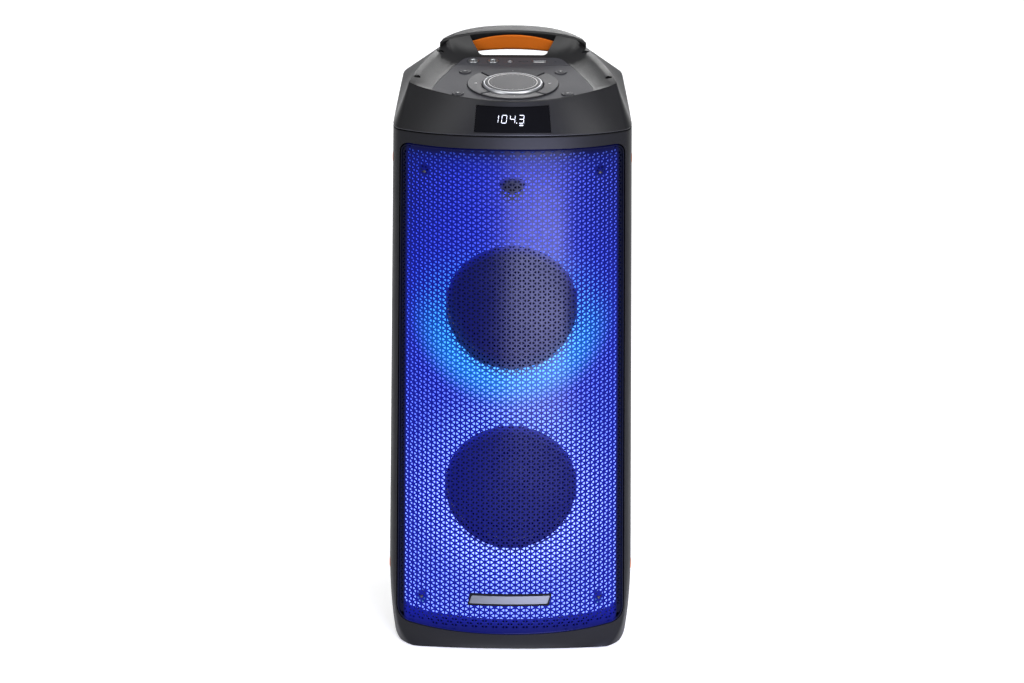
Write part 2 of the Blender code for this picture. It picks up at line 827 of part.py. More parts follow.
def build_controls():
    """The knob, the ring of four keys round it and the four round buttons."""
    centre = (0, y_at(KNOB_DEPTH), 0)
    knob = (
        (0.0, 0.6354),
        (0.003, 0.6354),
        (0.003, KEY_BOTTOM),
        (0.0330, KEY_BOTTOM),
        (KNOB_RADIUS, 0.6390),
        (KNOB_RADIUS, 0.6430),
        (0.0316, 0.6449),
        (0.0287, 0.6459),
        (0.0, 0.6461),
    )
    turned("volume_knob", knob, KNOB_METAL, centre, steps=36)
    split = 0.0008 / KEY_OUTER + math.radians(0.6)
    for number, name in enumerate(("right", "rear", "left", "front")):
        start = math.radians(90 * number - 45) + split
        end = math.radians(90 * number + 45) - split
        outline = sector(KEY_INNER, KEY_OUTER, start, end, 9)
        prism_up(f"key_{name}", outline, KEY_BOTTOM, KEY_TOP, KEY_PLASTIC, centre)
    button = (
        (0.0, KEY_BOTTOM),
        (BUTTON_RADIUS, KEY_BOTTOM),
        (BUTTON_RADIUS, 0.6437),
        (0.0059, 0.6444),
        (0.0, 0.6446),
    )
    for name, (x, depth) in BUTTONS.items():
        place = (x, y_at(depth), 0)
        turned(name, button, KEY_PLASTIC, place, steps=20)


def build_sockets():
    """The microphone jacks, the small audio jack and the wide port on the strip."""
    jack = (
        (0.0060, 0.6375),
        (0.0060, 0.6438),
        (0.0052, 0.6442),
        (0.0036, 0.6442),
        (0.0033, 0.6436),
        (0.0033, 0.6375),
    )
    for name, x in MIC_JACKS.items():
        turned(name, jack, CHROME, (x, y_at(JACK_DEPTH), 0), steps=20)
    audio = ((0.0030, 0.6375), (0.0030, 0.6434), (0.0018, 0.6434), (0.0018, 0.6375))
    turned("audio_jack", audio, STEEL, (-0.0032, y_at(JACK_DEPTH), 0), steps=16)
    low = (0.0217, JACK_DEPTH - 0.0036, 0.6375)
    high = (0.0365, JACK_DEPTH + 0.0036, 0.6432)
    port = box("usb_port", low, high, STEEL)
    slot_low = (0.0228, JACK_DEPTH - 0.0025, 0.6390)
    slot_high = (0.0354, JACK_DEPTH + 0.0025, 0.65)
    combine(port, box("usb_slot", slot_low, slot_high, STEEL))


def build_rear():
    """The rear panel with its bass port, power inlet and rocker switch."""
    half = PANEL_REAR_HALF_WIDTH
    outline = rounded_front(half, REAR_PANEL_BOTTOM, REAR_PANEL_TOP, 0.008)
    panel = prism_back(
        "rear_panel", outline, BODY_DEPTH - WALL, BODY_DEPTH, BLACK_PLASTIC
    )
    combine(panel, rod_cutter("port_hole_rear", 0.0273, 0.24, 0.27, 0, PORT_Z))
    tube = (
        (0.027, 0.140),
        (0.027, BODY_DEPTH + GAP),
        (0.034, BODY_DEPTH + GAP),
        (0.034, 0.2572),
        (0.029, REAR_PROUD),
        (0.0265, 0.2572),
        (PORT_RADIUS, 0.252),
        (PORT_RADIUS, 0.140),
    )
    turned("port_tube", tube, BLACK_PLASTIC, (0, y_at(0), PORT_Z), True)
    low = (INLET_X - 0.0143, 0.24, POWER_Z - 0.0103)
    high = (INLET_X + 0.0143, 0.27, POWER_Z + 0.0103)
    combine(panel, box("inlet_hole", low, high, BLACK_PLASTIC))
    low = (INLET_X - 0.014, 0.238, POWER_Z - 0.010)
    high = (INLET_X + 0.014, 0.2568, POWER_Z + 0.010)
    inlet = box("power_inlet", low, high, BLACK_PLASTIC)
    low = (INLET_X - 0.010, 0.242, POWER_Z - 0.0055)
    high = (INLET_X + 0.010, 0.27, POWER_Z + 0.0055)
    combine(inlet, box("inlet_socket", low, high, BLACK_PLASTIC))
    low = (SWITCH_X - 0.0073, 0.24, POWER_Z - 0.0110)
    high = (SWITCH_X + 0.0073, 0.27, POWER_Z + 0.0110)
    combine(panel, box("switch_hole", low, high, BLACK_PLASTIC))
    rocker = ((-0.004, -0.0092), (0.0062, -0.0096), (0.0044, 0), (0.0062, 0.0096))
    rocker += ((-0.004, 0.0092),)
    bm = bmesh.new()
    face = bm.faces.new([bm.verts.new((-0.007, y, z)) for y, z in rocker])
    grown = bmesh.ops.extrude_face_region(bm, geom=[face])
    moved = [v for v in grown["geom"] if isinstance(v, bmesh.types.BMVert)]
    bmesh.ops.translate(bm, vec=(0.014, 0, 0), verts=moved)
    pivot = (SWITCH_X, y_at(SWITCH_DEPTH), POWER_Z)
    finish("power_switch", bm, BLACK_PLASTIC, pivot, (-SWITCH_TILT, 0, 0))


def build_inside():
    """The boards and the battery behind the drive units."""
    box("amplifier_board", (-0.070, 0.226, 0.150), (0.070, 0.2276, 0.260), CIRCUIT)
    box("power_board", (-0.060, 0.226, 0.290), (0.060, 0.2276, 0.370), CIRCUIT)
    low, high = (-0.075, 0.130, 0.0125), (0.075, 0.190, 0.060)
    box("battery_pack", low, high, CELL_WRAP, bevel=0.004)


def build_feet():
    """Four rubber feet below, and two rubber bumpers on each side."""
    top = BODY_BOTTOM - GAP
    foot = ((0.0, top), (0.012, top), (0.0114, 0.0), (0, 0))
    for number, (x, depth) in enumerate(FEET, 1):
        turned(f"foot_{number}", foot, RUBBER, (x, y_at(depth), 0), steps=20)
    bumper = ((0.0, 0.0), (0.0075, 0.0), (0.0070, 0.0018), (0.0050, 0.0027), (0.0, 0.0029))
    for level, z in BUMPER_HEIGHTS.items():
        for side, sign in (("left", -1), ("right", 1)):
            place = (sign * BUMPER_X * widen(z), y_at(BUMPER_DEPTH), z)
            made = turned(f"bumper_{side}_{level}", bumper, ORANGE, place, steps=16)
            made.rotation_euler = (0, sign * math.pi / 2, 0)


build_cabinet()
build_grille()
build_light_panel()
build_baffle()
for woofer_side, woofer_z in WOOFER_HEIGHTS.items():
    build_woofer(woofer_side, woofer_z)
build_tweeter()
build_top_housing()
build_handle()
build_deck()
build_controls()
build_sockets()
build_rear()
build_inside()
build_feet()
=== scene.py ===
"""Looks of the party speaker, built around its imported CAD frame."""

import json
import math

import bmesh
import bpy
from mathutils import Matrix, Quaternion, Vector


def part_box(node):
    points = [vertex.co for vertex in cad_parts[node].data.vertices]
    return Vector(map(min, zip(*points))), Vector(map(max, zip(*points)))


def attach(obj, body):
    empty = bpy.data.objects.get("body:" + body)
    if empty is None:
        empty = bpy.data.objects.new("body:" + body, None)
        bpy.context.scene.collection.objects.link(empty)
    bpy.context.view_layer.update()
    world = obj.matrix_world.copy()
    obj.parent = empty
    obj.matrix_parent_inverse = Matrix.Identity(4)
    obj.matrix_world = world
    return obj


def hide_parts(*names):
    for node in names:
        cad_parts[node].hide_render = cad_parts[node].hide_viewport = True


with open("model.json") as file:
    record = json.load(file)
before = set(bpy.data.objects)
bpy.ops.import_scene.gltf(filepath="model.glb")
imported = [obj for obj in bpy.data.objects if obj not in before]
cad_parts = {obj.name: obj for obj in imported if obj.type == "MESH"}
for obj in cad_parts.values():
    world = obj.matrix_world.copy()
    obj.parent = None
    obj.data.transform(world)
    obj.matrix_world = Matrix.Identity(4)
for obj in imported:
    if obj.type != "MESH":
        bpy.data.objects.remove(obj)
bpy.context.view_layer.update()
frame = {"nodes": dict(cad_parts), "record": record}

CABINET = "cabinet"
DRIVER_PLANE = 0.0087
GRILLE_NEAR = 0.0005
FRONT = GRILLE_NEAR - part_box("front_grille")[0].y
HALF_WIDTH = 0.1318
FACE_HALF_WIDTH = 0.1238
WIDENING = 0.029
WIDENING_Z = 0.355
BODY_DEPTH = 0.256
RIM_HALF_WIDTH = 0.1134
BAND_HALF_WIDTH = 0.1182
SEAM_Z = 0.607
SEAM_DROP = 0.008
RIM_Z = 0.645
DECK_Z = 0.643
CROWN_TOP = 0.6636
CROWN_BASE = 0.6483
CROWN_HALF_WIDTH = 0.0805
CROWN_ARCH = 1.36
LIP_ARCH = 2.3
GRIP_HALF_WIDTH = 0.0468
GAP = 0.0003
PANEL_OFFSET = 0.015


def y_at(depth):
    """World Y of a depth behind the middle of the grille's front."""
    return depth - FRONT


def middle(node):
    """The middle of a CAD node's box."""
    low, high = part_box(node)
    return (low + high) / 2


# ---------------------------------------------------------------- materials


class Value:
    """A number or vector worked out by nodes, which joins others by arithmetic."""

    def __init__(self, tree, socket):
        self.tree = tree
        self.socket = socket

    def math(self, operation, *others):
        node = self.tree.nodes.new("ShaderNodeMath")
        node.operation = operation
        self.tree.links.new(self.socket, node.inputs[0])
        for index, other in enumerate(others, 1):
            if isinstance(other, Value):
                self.tree.links.new(other.socket, node.inputs[index])
            else:
                node.inputs[index].default_value = other
        return Value(self.tree, node.outputs[0])

    def __add__(self, other):
        return self.math("ADD", other)

    def __sub__(self, other):
        return self.math("SUBTRACT", other)

    def __mul__(self, other):
        return self.math("MULTIPLY", other)

    def clamp(self):
        made = self.math("ADD", 0.0)
        made.socket.node.use_clamp = True
        return made

    def ramp(self, low, high, start=0.0, end=1.0):
        """A smooth change from start to end as the value goes from low to high."""
        node = self.tree.nodes.new("ShaderNodeMapRange")
        node.interpolation_type = "SMOOTHSTEP"
        self.tree.links.new(self.socket, node.inputs["Value"])
        for name, number in (("From Min", low), ("From Max", high), ("To Min", start), ("To Max", end)):
            node.inputs[name].default_value = number
        return Value(self.tree, node.outputs[0])

    def bell(self, centre, width):
        """One at the centre, falling off smoothly over a width."""
        return ((self - centre) * (1 / width)).math("ABSOLUTE").ramp(0.0, 1.0, 1.0, 0.0)


class Look:
    """One procedural material round a Principled shader."""

    def __init__(self, name, colour, roughness, metallic=0.0, specular=0.5):
        self.material = bpy.data.materials.new(name)
        self.material.use_nodes = True
        self.tree = self.material.node_tree
        self.shader = self.tree.nodes["Principled BSDF"]
        self.colour = colour
        self.roughness = roughness
        self.set("Base Color", (*colour, 1))
        self.set("Roughness", roughness)
        self.set("Metallic", metallic)
        self.set("Specular IOR Level", specular)
        coordinates = self.tree.nodes.new("ShaderNodeTexCoord")
        self.place = coordinates.outputs["Object"]
        split = self.tree.nodes.new("ShaderNodeSeparateXYZ")
        self.tree.links.new(self.place, split.inputs[0])
        self.x, self.y, self.z = (Value(self.tree, s) for s in split.outputs)
        self.height = None

    def set(self, socket, value):
        self.shader.inputs[socket].default_value = value
        return self

    def stretched(self, scale):
        node = self.tree.nodes.new("ShaderNodeMapping")
        node.inputs["Scale"].default_value = scale
        self.tree.links.new(self.place, node.inputs[0])
        return node.outputs[0]

    def noise(self, scale, detail=2.0, rough=0.5, stretch=None):
        node = self.tree.nodes.new("ShaderNodeTexNoise")
        place = self.stretched(stretch) if stretch else self.place
        self.tree.links.new(place, node.inputs["Vector"])
        node.inputs["Scale"].default_value = scale
        node.inputs["Detail"].default_value = detail
        node.inputs["Roughness"].default_value = rough
        return Value(self.tree, node.outputs[0])

    def cells(self, scale):
        node = self.tree.nodes.new("ShaderNodeTexVoronoi")
        self.tree.links.new(self.place, node.inputs["Vector"])
        node.inputs["Scale"].default_value = scale
        return Value(self.tree, node.outputs["Distance"])

    def join(self, share, first, second):
        """A colour between two, by a share. Each is a colour or a socket."""
        node = self.tree.nodes.new("ShaderNodeMix")
        node.data_type = "RGBA"
        self.tree.links.new(share.socket, node.inputs["Factor"])
        for name, end in (("A", first), ("B", second)):
            socket = [s for s in node.inputs if s.name == name and s.type == "RGBA"][0]
            if isinstance(end, tuple):
                socket.default_value = (*end, 1)
            else:
                self.tree.links.new(end, socket)
        return [s for s in node.outputs if s.type == "RGBA"][0]

    def mixed(self, *channels):
        """A colour made of a red, a green and a blue value."""
        node = self.tree.nodes.new("ShaderNodeCombineColor")
        for channel, socket in zip(channels, node.inputs):
            self.tree.links.new(channel.socket, socket)
        return node.outputs[0]

    def link(self, socket, output):
        self.tree.links.new(output, self.shader.inputs[socket])

    def bump(self, field, distance, strength=1.0):
        node = self.tree.nodes.new("ShaderNodeBump")
        node.inputs["Distance"].default_value = distance
        node.inputs["Strength"].default_value = strength
        self.tree.links.new(field.socket, node.inputs["Height"])
        if self.height is not None:
            self.tree.links.new(self.height, node.inputs["Normal"])
        self.height = node.outputs[0]
        self.link("Normal", self.height)
        return self

    def worn(self, spread=0.25, patch=14.0, fleck=420.0, gloss=0.12):
        """Colour that drifts in broad patches, fine flecks and uneven gloss."""
        tone = (self.noise(patch, 4.0, 0.6) - 0.5) * 1.2 + 0.5
        fine = self.noise(fleck, 3.0, 0.7)
        share = (tone * 0.6 + fine * 0.4).clamp()
        darker = tuple(c * (1 - spread) for c in self.colour)
        lighter = tuple(min(1.0, c * (1 + spread)) for c in self.colour)
        self.link("Base Color", self.join(share, darker, lighter))
        rough = share.ramp(0.2, 0.8, self.roughness - gloss / 2, self.roughness + gloss / 2)
        self.link("Roughness", rough.socket)
        return self


def moulded(name, colour, roughness, specular, grain=2300.0, depth=0.00003, spread=0.22):
    """Moulded plastic with a fine pebble texture and faint scuffs."""
    look = Look(name, colour, roughness, 0.0, specular).worn(spread)
    look.bump(look.cells(grain), depth, 0.7)
    look.bump(look.noise(260.0, 3.0), 0.00004, 0.25)
    return look.material


def metal(name, colour, roughness, stretch=None):
    """Bare metal with fine marks drawn out along one direction."""
    look = Look(name, colour, roughness, 1.0).worn(0.10, 30.0, 900.0, 0.10)
    look.bump(look.noise(1500.0, 2.0, 0.5, stretch), 0.00001, 0.5)
    return look.material


def emit(look, colour, strength):
    look.link("Emission Color", colour)
    look.set("Emission Strength", strength)


WOOFERS = {side: middle(f"woofer_{side}_cone").z for side in ("lower", "upper")}
WOOFER_OPENING = 0.0723


def distance_from(look, z):
    """Distance in metres from the axis of a woofer at height z."""
    up = look.z - z
    return (look.x * look.x + up * up).math("SQRT")


def post_shadow(look):
    """Dark spots where the four posts of the grille stand on the diffuser."""
    across = look.x.math("ABSOLUTE") - 0.0965
    shade = None
    for z, drop in ((0.559, 0.0020), (0.0614, 0.0005)):
        up = (look.z - (z - 0.0055 + drop)) * 0.8
        spot = (across * across + up * up).math("SQRT").ramp(0.0042, 0.0075, 0.05, 1.0)
        shade = spot if shade is None else shade * spot
    return shade


def glow(look):
    """Light field of the diffuser: deep blue, with cyan and white rings of light."""
    lower = distance_from(look, WOOFERS["lower"])
    upper = distance_from(look, WOOFERS["upper"])
    down = look.z.ramp(0.56, 0.10, 0.0, 1.0)
    ring_upper = upper.bell(0.078, 0.040) * look.z.ramp(0.485, 0.355, 0.0, 1.0)
    ring_lower = lower.bell(0.080, 0.050) * look.z.ramp(0.34, 0.06, 0.35, 1.0)
    cloud = look.noise(9.0, 2.0) * 0.3 + 0.85
    # The glow fades at its top edge and carries the painted shadows of the posts.
    edge = look.z.ramp(0.583, 0.545, 0.35, 1.0) * post_shadow(look)
    blue = (down * 0.75 + ring_upper * 0.7 + ring_lower * 0.8 + 0.62) * cloud * edge
    white = (down * down * 0.30 + ring_lower * 0.26 + look.x.ramp(-0.02, 0.12) * 0.05 + 0.035) * edge
    cyan = ring_upper * 0.40 + ring_lower * look.z.ramp(0.20, 0.29) * 0.22 + down * 0.05
    return look.mixed(white * 0.8, white + cyan + 0.02, blue + white)


def light_diffuser():
    """The lit sheet, with shadows where the posts stand."""
    look = Look("light_diffuser", (0.05, 0.06, 0.30), 0.45)
    look.bump(look.noise(900.0), 0.00002, 0.4)
    emit(look, glow(look), 1.5)
    return look.material


def grille_paint():
    """Dark metallic paint with a painted blue glow: the diffuser's blue light is painted on as emission where
    the panel behind is lit.
    """
    look = Look("grille_paint", (0.0008, 0.0012, 0.0036), 0.26, 0.0, 0.055).worn(0.25, 20.0, 700.0)
    look.bump(look.noise(1900.0), 0.00002, 0.5)
    # The painted glow is weaker over the woofers and the tweeter, and towards the edges of the sheet.
    lower = distance_from(look, WOOFERS["lower"]).ramp(0.066, 0.078, 0.55, 1.0)
    upper = distance_from(look, WOOFERS["upper"]).ramp(0.066, 0.078, 0.38, 1.0)
    sides = look.x.math("ABSOLUTE").ramp(0.1135, 0.1185, 1.0, 0.04)
    ends = look.z.ramp(0.572, 0.590, 1.0, 0.2) * look.z.ramp(0.026, 0.046, 0.4, 1.0)
    tweeter = distance_from(look, middle("tweeter_dome").z).ramp(0.010, 0.016, 0.15, 1.0)
    # Painted shade: the painted glow fades towards the top corners.
    corners = (look.x.math("ABSOLUTE") * 2.2 + look.z).ramp(0.62, 0.86, 1.0, 0.42)
    share = lower * upper * tweeter * sides * ends * corners
    # A painted cyan ring of glow round the upper woofer.
    ring = distance_from(look, WOOFERS["upper"]).bell(0.085, 0.035) * look.z.ramp(0.43, 0.34)
    blue = look.z.ramp(0.57, 0.15, 0.28, 0.32) + ring * 0.25
    # The painted glow, as emission on the dark paint.
    emit(look, look.mixed(share * 0.002, share * (ring * 0.11 + 0.006), share * blue), 1.0)
    return look.material


def turned_metal(name, colour, roughness, axis):
    """Metal with the fine rings that turning leaves round an upright axis."""
    look = Look(name, colour, roughness, 1.0).worn(0.05, 40.0, 900.0, 0.03)
    across, along = look.x - axis.x, look.y - axis.y
    radius = (across * across + along * along).math("SQRT")
    rings = (radius * 9000.0).math("SINE")
    look.bump(rings, 0.000002, 0.2)
    return look.material


def glossy(name, colour, roughness, specular=0.5, coat=0.4):
    look = Look(name, colour, roughness, 0.0, specular).worn(0.15, 25.0, 600.0, 0.05)
    look.bump(look.noise(160.0), 0.00001, 0.1)
    look.set("Coat Weight", coat)
    look.set("Coat Roughness", 0.06)
    return look.material


def cone_paper():
    """Pressed paper, with fibres."""
    look = Look("cone_paper", (0.009, 0.009, 0.011), 0.75, 0.0, 0.2).worn(0.35, 40.0, 1300.0)
    look.bump(look.noise(1100.0, 4.0, 0.7), 0.00006, 0.8)
    return look.material


def rubbery(name, colour, roughness=0.7, specular=0.25):
    look = Look(name, colour, roughness, 0.0, specular).worn(0.18, 22.0, 900.0)
    look.bump(look.noise(1700.0, 3.0), 0.00003, 0.6)
    return look.material


def circuit():
    """Green board with darker tracks."""
    look = Look("circuit_board", (0.015, 0.11, 0.045), 0.35).worn(0.2)
    tracks = look.noise(160.0, 1.0, 0.5, (1, 8, 1)).ramp(0.47, 0.53)
    look.link("Base Color", look.join(tracks, (0.010, 0.075, 0.030), (0.020, 0.15, 0.060)))
    look.bump(tracks, 0.00004, 0.5)
    return look.material


def shining(name, colour, strength):
    look = Look(name, colour, 0.4)
    share = look.noise(700.0, 2.0).ramp(0.2, 0.8)
    tint = look.join(share, tuple(c * 0.92 for c in colour), colour)
    look.link("Base Color", tint)
    emit(look, tint, strength)
    return look.material


KNOB_AXIS = middle("volume_knob")
BLACK = moulded("black_plastic", (0.0050, 0.0050, 0.0055), 0.46, 0.12)
HOUSING = moulded("housing_plastic", (0.0065, 0.0065, 0.0070), 0.40, 0.30, 2000.0, 0.00003, 0.30)
DECK = moulded("deck_plastic", (0.044, 0.044, 0.051), 0.52, 0.14, 2600.0, 0.00002, 0.14)
KEYS = moulded("key_plastic", (0.036, 0.036, 0.041), 0.44, 0.16, 2600.0, 0.00001, 0.12)
ORANGE = rubbery("orange_rubber", (0.80, 0.180, 0.010), 0.55, 0.3)
# Grille paint, with a painted blue glow on it.
PAINT_AND_PAINTED_GLOW = grille_paint()
DIFFUSER = light_diffuser()
GLOSS = glossy("gloss_window", (0.0030, 0.0030, 0.0034), 0.30, 0.03, 0.0)
DARK_GLOSS = glossy("dark_gloss", (0.003, 0.003, 0.004), 0.30, 0.06, 0.0)
KNOB_METAL = turned_metal("knob_metal", (0.50, 0.51, 0.53), 0.36, KNOB_AXIS)
STEEL = metal("steel", (0.34, 0.35, 0.37), 0.36, (1, 1, 14))
CHROME = metal("chrome", (0.27, 0.28, 0.29), 0.30)
DARK_STEEL = metal("dark_steel", (0.045, 0.047, 0.052), 0.48)
BADGE_METAL = metal("badge_metal", (0.115, 0.12, 0.125), 0.42)
FERRITE = rubbery("ferrite", (0.035, 0.035, 0.040), 0.6, 0.4)
PAPER = cone_paper()
RUBBER = rubbery("rubber", (0.008, 0.008, 0.009), 0.72, 0.15)
BOARD = rubbery("baffle_board", (0.030, 0.028, 0.026), 0.8)
CIRCUIT = circuit()
WRAP = glossy("cell_wrap", (0.02, 0.05, 0.22), 0.35)
COPPER = metal("copper", (0.62, 0.27, 0.12), 0.35, (1, 40, 1))
WHITE_LIGHT = shining("white_light", (0.92, 0.95, 1.0), 0.80)
WHITE_INK = rubbery("white_ink", (0.62, 0.62, 0.62), 0.5)
# Painted shade: a near-black matte floor for each jack, standing in for the depth of the hole.
HOLE_SHADE = rubbery("painted_hole_shade", (0.004, 0.004, 0.004), 0.9, 0.1)

# The look of each material slot in the record, and the slots that the other looks belong to.
CAD_LOOKS = {
    "black_plastic": BLACK,
    "deck_plastic": DECK,
    "key_plastic": KEYS,
    "orange_rubber": ORANGE,
    "grille_paint": PAINT_AND_PAINTED_GLOW,
    "light_diffuser": DIFFUSER,
    "gloss_window": GLOSS,
    "knob_metal": KNOB_METAL,
    "steel": STEEL,
    "chrome": CHROME,
    "ferrite": FERRITE,
    "cone_paper": PAPER,
    "rubber": RUBBER,
    "baffle_board": BOARD,
    "circuit_board": CIRCUIT,
    "cell_wrap": WRAP,
    "copper": COPPER,
}
SLOT_OF = {look.name: slot for slot, look in CAD_LOOKS.items()}
SLOT_OF.update({"dark_gloss": "gloss_window", "white_light": "gloss_window"})
SLOT_OF.update({"housing_plastic": "black_plastic", "painted_hole_shade": "black_plastic"})
SLOT_OF.update({"dark_steel": "steel", "badge_metal": "steel", "white_ink": "key_plastic"})


def dress_cad_nodes():
    """Give every CAD node the procedural material of its slot."""
    for part in frame["record"]["subparts"]:
        mesh = frame["nodes"][part["node"]].data
        mesh.materials.clear()
        mesh.materials.append(CAD_LOOKS[part["material_slot"]])


# ---------------------------------------------------------------- mesh helpers


def raw(name, verts, faces, look):
    """An object made of vertices and faces, with its normals made consistent."""
    bm = bmesh.new()
    corners = [bm.verts.new(v) for v in verts]
    for face in faces:
        bm.faces.new([corners[i] for i in face])
    bmesh.ops.remove_doubles(bm, verts=bm.verts, dist=0.000001)
    bmesh.ops.recalc_face_normals(bm, faces=bm.faces)
    mesh = bpy.data.meshes.new(name)
    bm.to_mesh(mesh)
    bm.free()
    mesh.materials.append(look)
    made = bpy.data.objects.new(name, mesh)
    bpy.context.scene.collection.objects.link(made)
    return made


def settle(obj):
    """Turn an object's modifiers into its mesh."""
    bpy.context.view_layer.update()
    graph = bpy.context.evaluated_depsgraph_get()
    mesh = bpy.data.meshes.new_from_object(obj.evaluated_get(graph))
    obj.modifiers.clear()
    obj.data = mesh
    return obj


def cut(target, *tools, operation="DIFFERENCE"):
    """Cut tools out of the target, or keep what is inside them."""
    for tool in tools:
        modifier = target.modifiers.new("cut", "BOOLEAN")
        modifier.operation = operation
        modifier.solver = "EXACT"
        modifier.object = tool
        settle(target)
        bpy.data.objects.remove(tool)
    return target


def soften(obj, width, segments=3, angle=35):
    """Round the sharp edges of an object."""
    modifier = obj.modifiers.new("soften", "BEVEL")
    modifier.width = width
    modifier.segments = segments
    modifier.limit_method = "ANGLE"
    modifier.angle_limit = math.radians(angle)
    modifier.use_clamp_overlap = True
    return settle(obj)


def place(obj, *replaced, body=CABINET, angle=40):
    """Shade a piece, tie it to its body and hide the CAD parts that it stands for."""
    obj.data.shade_smooth()
    obj.data.set_sharp_from_angle(angle=math.radians(angle))
    if max(len(face.vertices) for face in obj.data.polygons) > 8:
        modifier = obj.modifiers.new("even", "WEIGHTED_NORMAL")
        modifier.keep_sharp = True
        modifier.weight = 90
        settle(obj)
    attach(obj, body)
    if replaced:
        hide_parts(*replaced)
    return obj


def loft(name, rings, look=BLACK, closed=False):
    """A closed skin over rings of equal count. Its ends are filled, or joined if closed."""
    count = len(rings[0])
    verts = [point for points in rings for point in points]
    faces = []
    pairs = list(zip(range(len(rings)), range(1, len(rings))))
    if closed:
        pairs.append((len(rings) - 1, 0))
    for low, high in pairs:
        for i in range(count):
            j = (i + 1) % count
            faces.append((low * count + i, low * count + j, high * count + j, high * count + i))
    if not closed:
        faces.append(tuple(reversed(range(count))))
        faces.append(tuple(range((len(rings) - 1) * count, len(rings) * count)))
    return raw(name, verts, faces, look)


def prism_up(name, outline, low, high, look=BLACK):
    """An upright prism on a plan outline of x, depth points."""
    return loft(name, [[(x, y_at(d), z) for x, d in outline] for z in (low, high)], look)


def prism_back(name, outline, near, far, look=BLACK):
    """A prism that runs back from near to far on a front outline of x, z points."""
    return loft(name, [[(x, y_at(d), z) for x, z in outline] for d in (near, far)], look)


def polar(radius, angle):
    return radius * math.cos(angle), radius * math.sin(angle)


def circle(radius, steps):
    return [polar(radius, 2 * math.pi * i / steps) for i in range(steps)]


def arc(cx, cz, rx, rz, start, end, steps):
    """Points along an arc of an ellipse about a centre, between angles in degrees."""
    points = []
    for i in range(steps + 1):
        across, up = polar(1.0, math.radians(start + (end - start) * i / steps))
        points.append((cx + rx * across, cz + rz * up))
    return points


def turned(name, profile, look, centre, back=False, steps=72):
    """A turned piece on a profile of radius, height points that starts and ends on the
    axis or closes on itself. With back, its height runs back as a depth."""
    cx, cy, cz = centre
    verts, rows, faces = [], [], []
    for radius, height in profile:
        points = circle(radius, steps) if radius > 0 else [(0, 0)]
        rows.append(range(len(verts), len(verts) + len(points)))
        for a, b in points:
            verts.append((cx + a, cy + height, cz + b) if back else (cx + a, cy + b, cz + height))
    pairs = list(zip(rows, rows[1:]))
    if profile[0][0] > 0:
        pairs.append((rows[-1], rows[0]))
    for first, second in pairs:
        for i in range(steps):
            j = (i + 1) % steps
            corners = [row[k % len(row)] for row, k in ((first, i), (first, j), (second, j), (second, i))]
            face = list(dict.fromkeys(corners))
            if len(face) > 2:
                faces.append(face)
    return raw(name, verts, faces, look)


def rod(name, centre, radius, length, upright=True, steps=48, flat=1.0):
    """A round bar centred at a point, upright or from front to back, for cutting."""
    rings = []
    for end in (-length / 2, length / 2):
        points = [(a, b * flat, end) if upright else (a, end, b) for a, b in circle(radius, steps)]
        rings.append([tuple(Vector(p) + Vector(centre)) for p in points])
    return loft(name, rings)


def block(name, low, high, look=BLACK):
    """A block between two corners, each given as x, depth, z."""
    outline = [(low[0], low[1]), (high[0], low[1]), (high[0], high[1]), (low[0], high[1])]
    return prism_up(name, outline, low[2], high[2], look)


def curve_through(points, steps):
    """A smooth path through points, with some steps between each two."""
    path = []
    last = len(points) - 1
    for i in range(last):
        p0, p1, p2, p3 = (Vector(points[max(0, min(last, i + k))]) for k in (-1, 0, 1, 2))
        for step in range(steps):
            t = step / steps
            square, cube = 2 * p0 - 5 * p1 + 4 * p2 - p3, 3 * p1 - p0 - 3 * p2 + p3
            path.append(0.5 * (2 * p1 + (p2 - p0) * t + square * t * t + cube * t**3))
    path.append(Vector(points[last]))
    return [tuple(p) for p in path]


def rounded(half_x, half_z, radius, steps=6, cx=0.0, cz=0.0):
    """A rectangle with round corners about a centre."""
    points = []
    for sx, sz, start in ((1, 1, 0), (-1, 1, 90), (-1, -1, 180), (1, -1, 270)):
        x, z = cx + sx * (half_x - radius), cz + sz * (half_z - radius)
        points += arc(x, z, radius, radius, start, start + 90, steps)
    return points


# ---------------------------------------------------------------- shared outlines


def bend(start, pull, end, count):
    """Points of a curve from start, which they leave out, pulled towards a point, to end."""
    points = []
    for i in range(1, count + 1):
        t = i / count
        a, b, c = (1 - t) ** 2, 2 * t * (1 - t), t * t
        points.append(tuple(a * p + b * q + c * r for p, q, r in zip(start, pull, end)))
    return points


def round_corners(shape, radius):
    """The outline of a polygon with its corners rounded."""
    outline = []
    for i, corner in enumerate(shape):
        here, before, after = Vector(corner), Vector(shape[i - 1]), Vector(shape[(i + 1) % len(shape)])
        start = here.lerp(before, radius / (here - before).length)
        end = here.lerp(after, radius / (after - here).length)
        outline += [tuple(start)] + bend(tuple(start), tuple(here), tuple(end), 5)
    return outline


def face_depth(x):
    """Depth of the curved front face at x."""
    return 1.615 * x**2 + 54 * x**4


def rim_depth(x):
    """Depth of the front of the rim round the deck at x."""
    return 0.008 + 4.5 * x**2


def plan(half_width, front, corner, side, rear, fronts=26, bends=12, backs=6):
    """A plan outline from its front curve and three bends, each a pull and an end."""
    half = [(half_width * i / fronts, front(half_width * i / fronts)) for i in range(fronts + 1)]
    for pull, end in (corner, side, rear):
        half += bend(half[-1], pull, end, bends)
    x_end, d_end = half[-1]
    half += [(x_end * (1 - i / backs), d_end) for i in range(1, backs + 1)]
    return half + [(-x, d) for x, d in reversed(half[1:-1])]


def inset(outline, distance):
    """The outline moved inwards by a distance."""
    moved = []
    for i, here in enumerate(outline):
        before, after = Vector(outline[i - 1]), Vector(outline[(i + 1) % len(outline)])
        along_out = (after - Vector(here)).normalized()
        along = ((Vector(here) - before).normalized() + along_out).normalized()
        reach = distance / max(0.5, along.dot(along_out))
        moved.append(tuple(Vector(here) + Vector((-along.y, along.x)) * reach))
    return moved


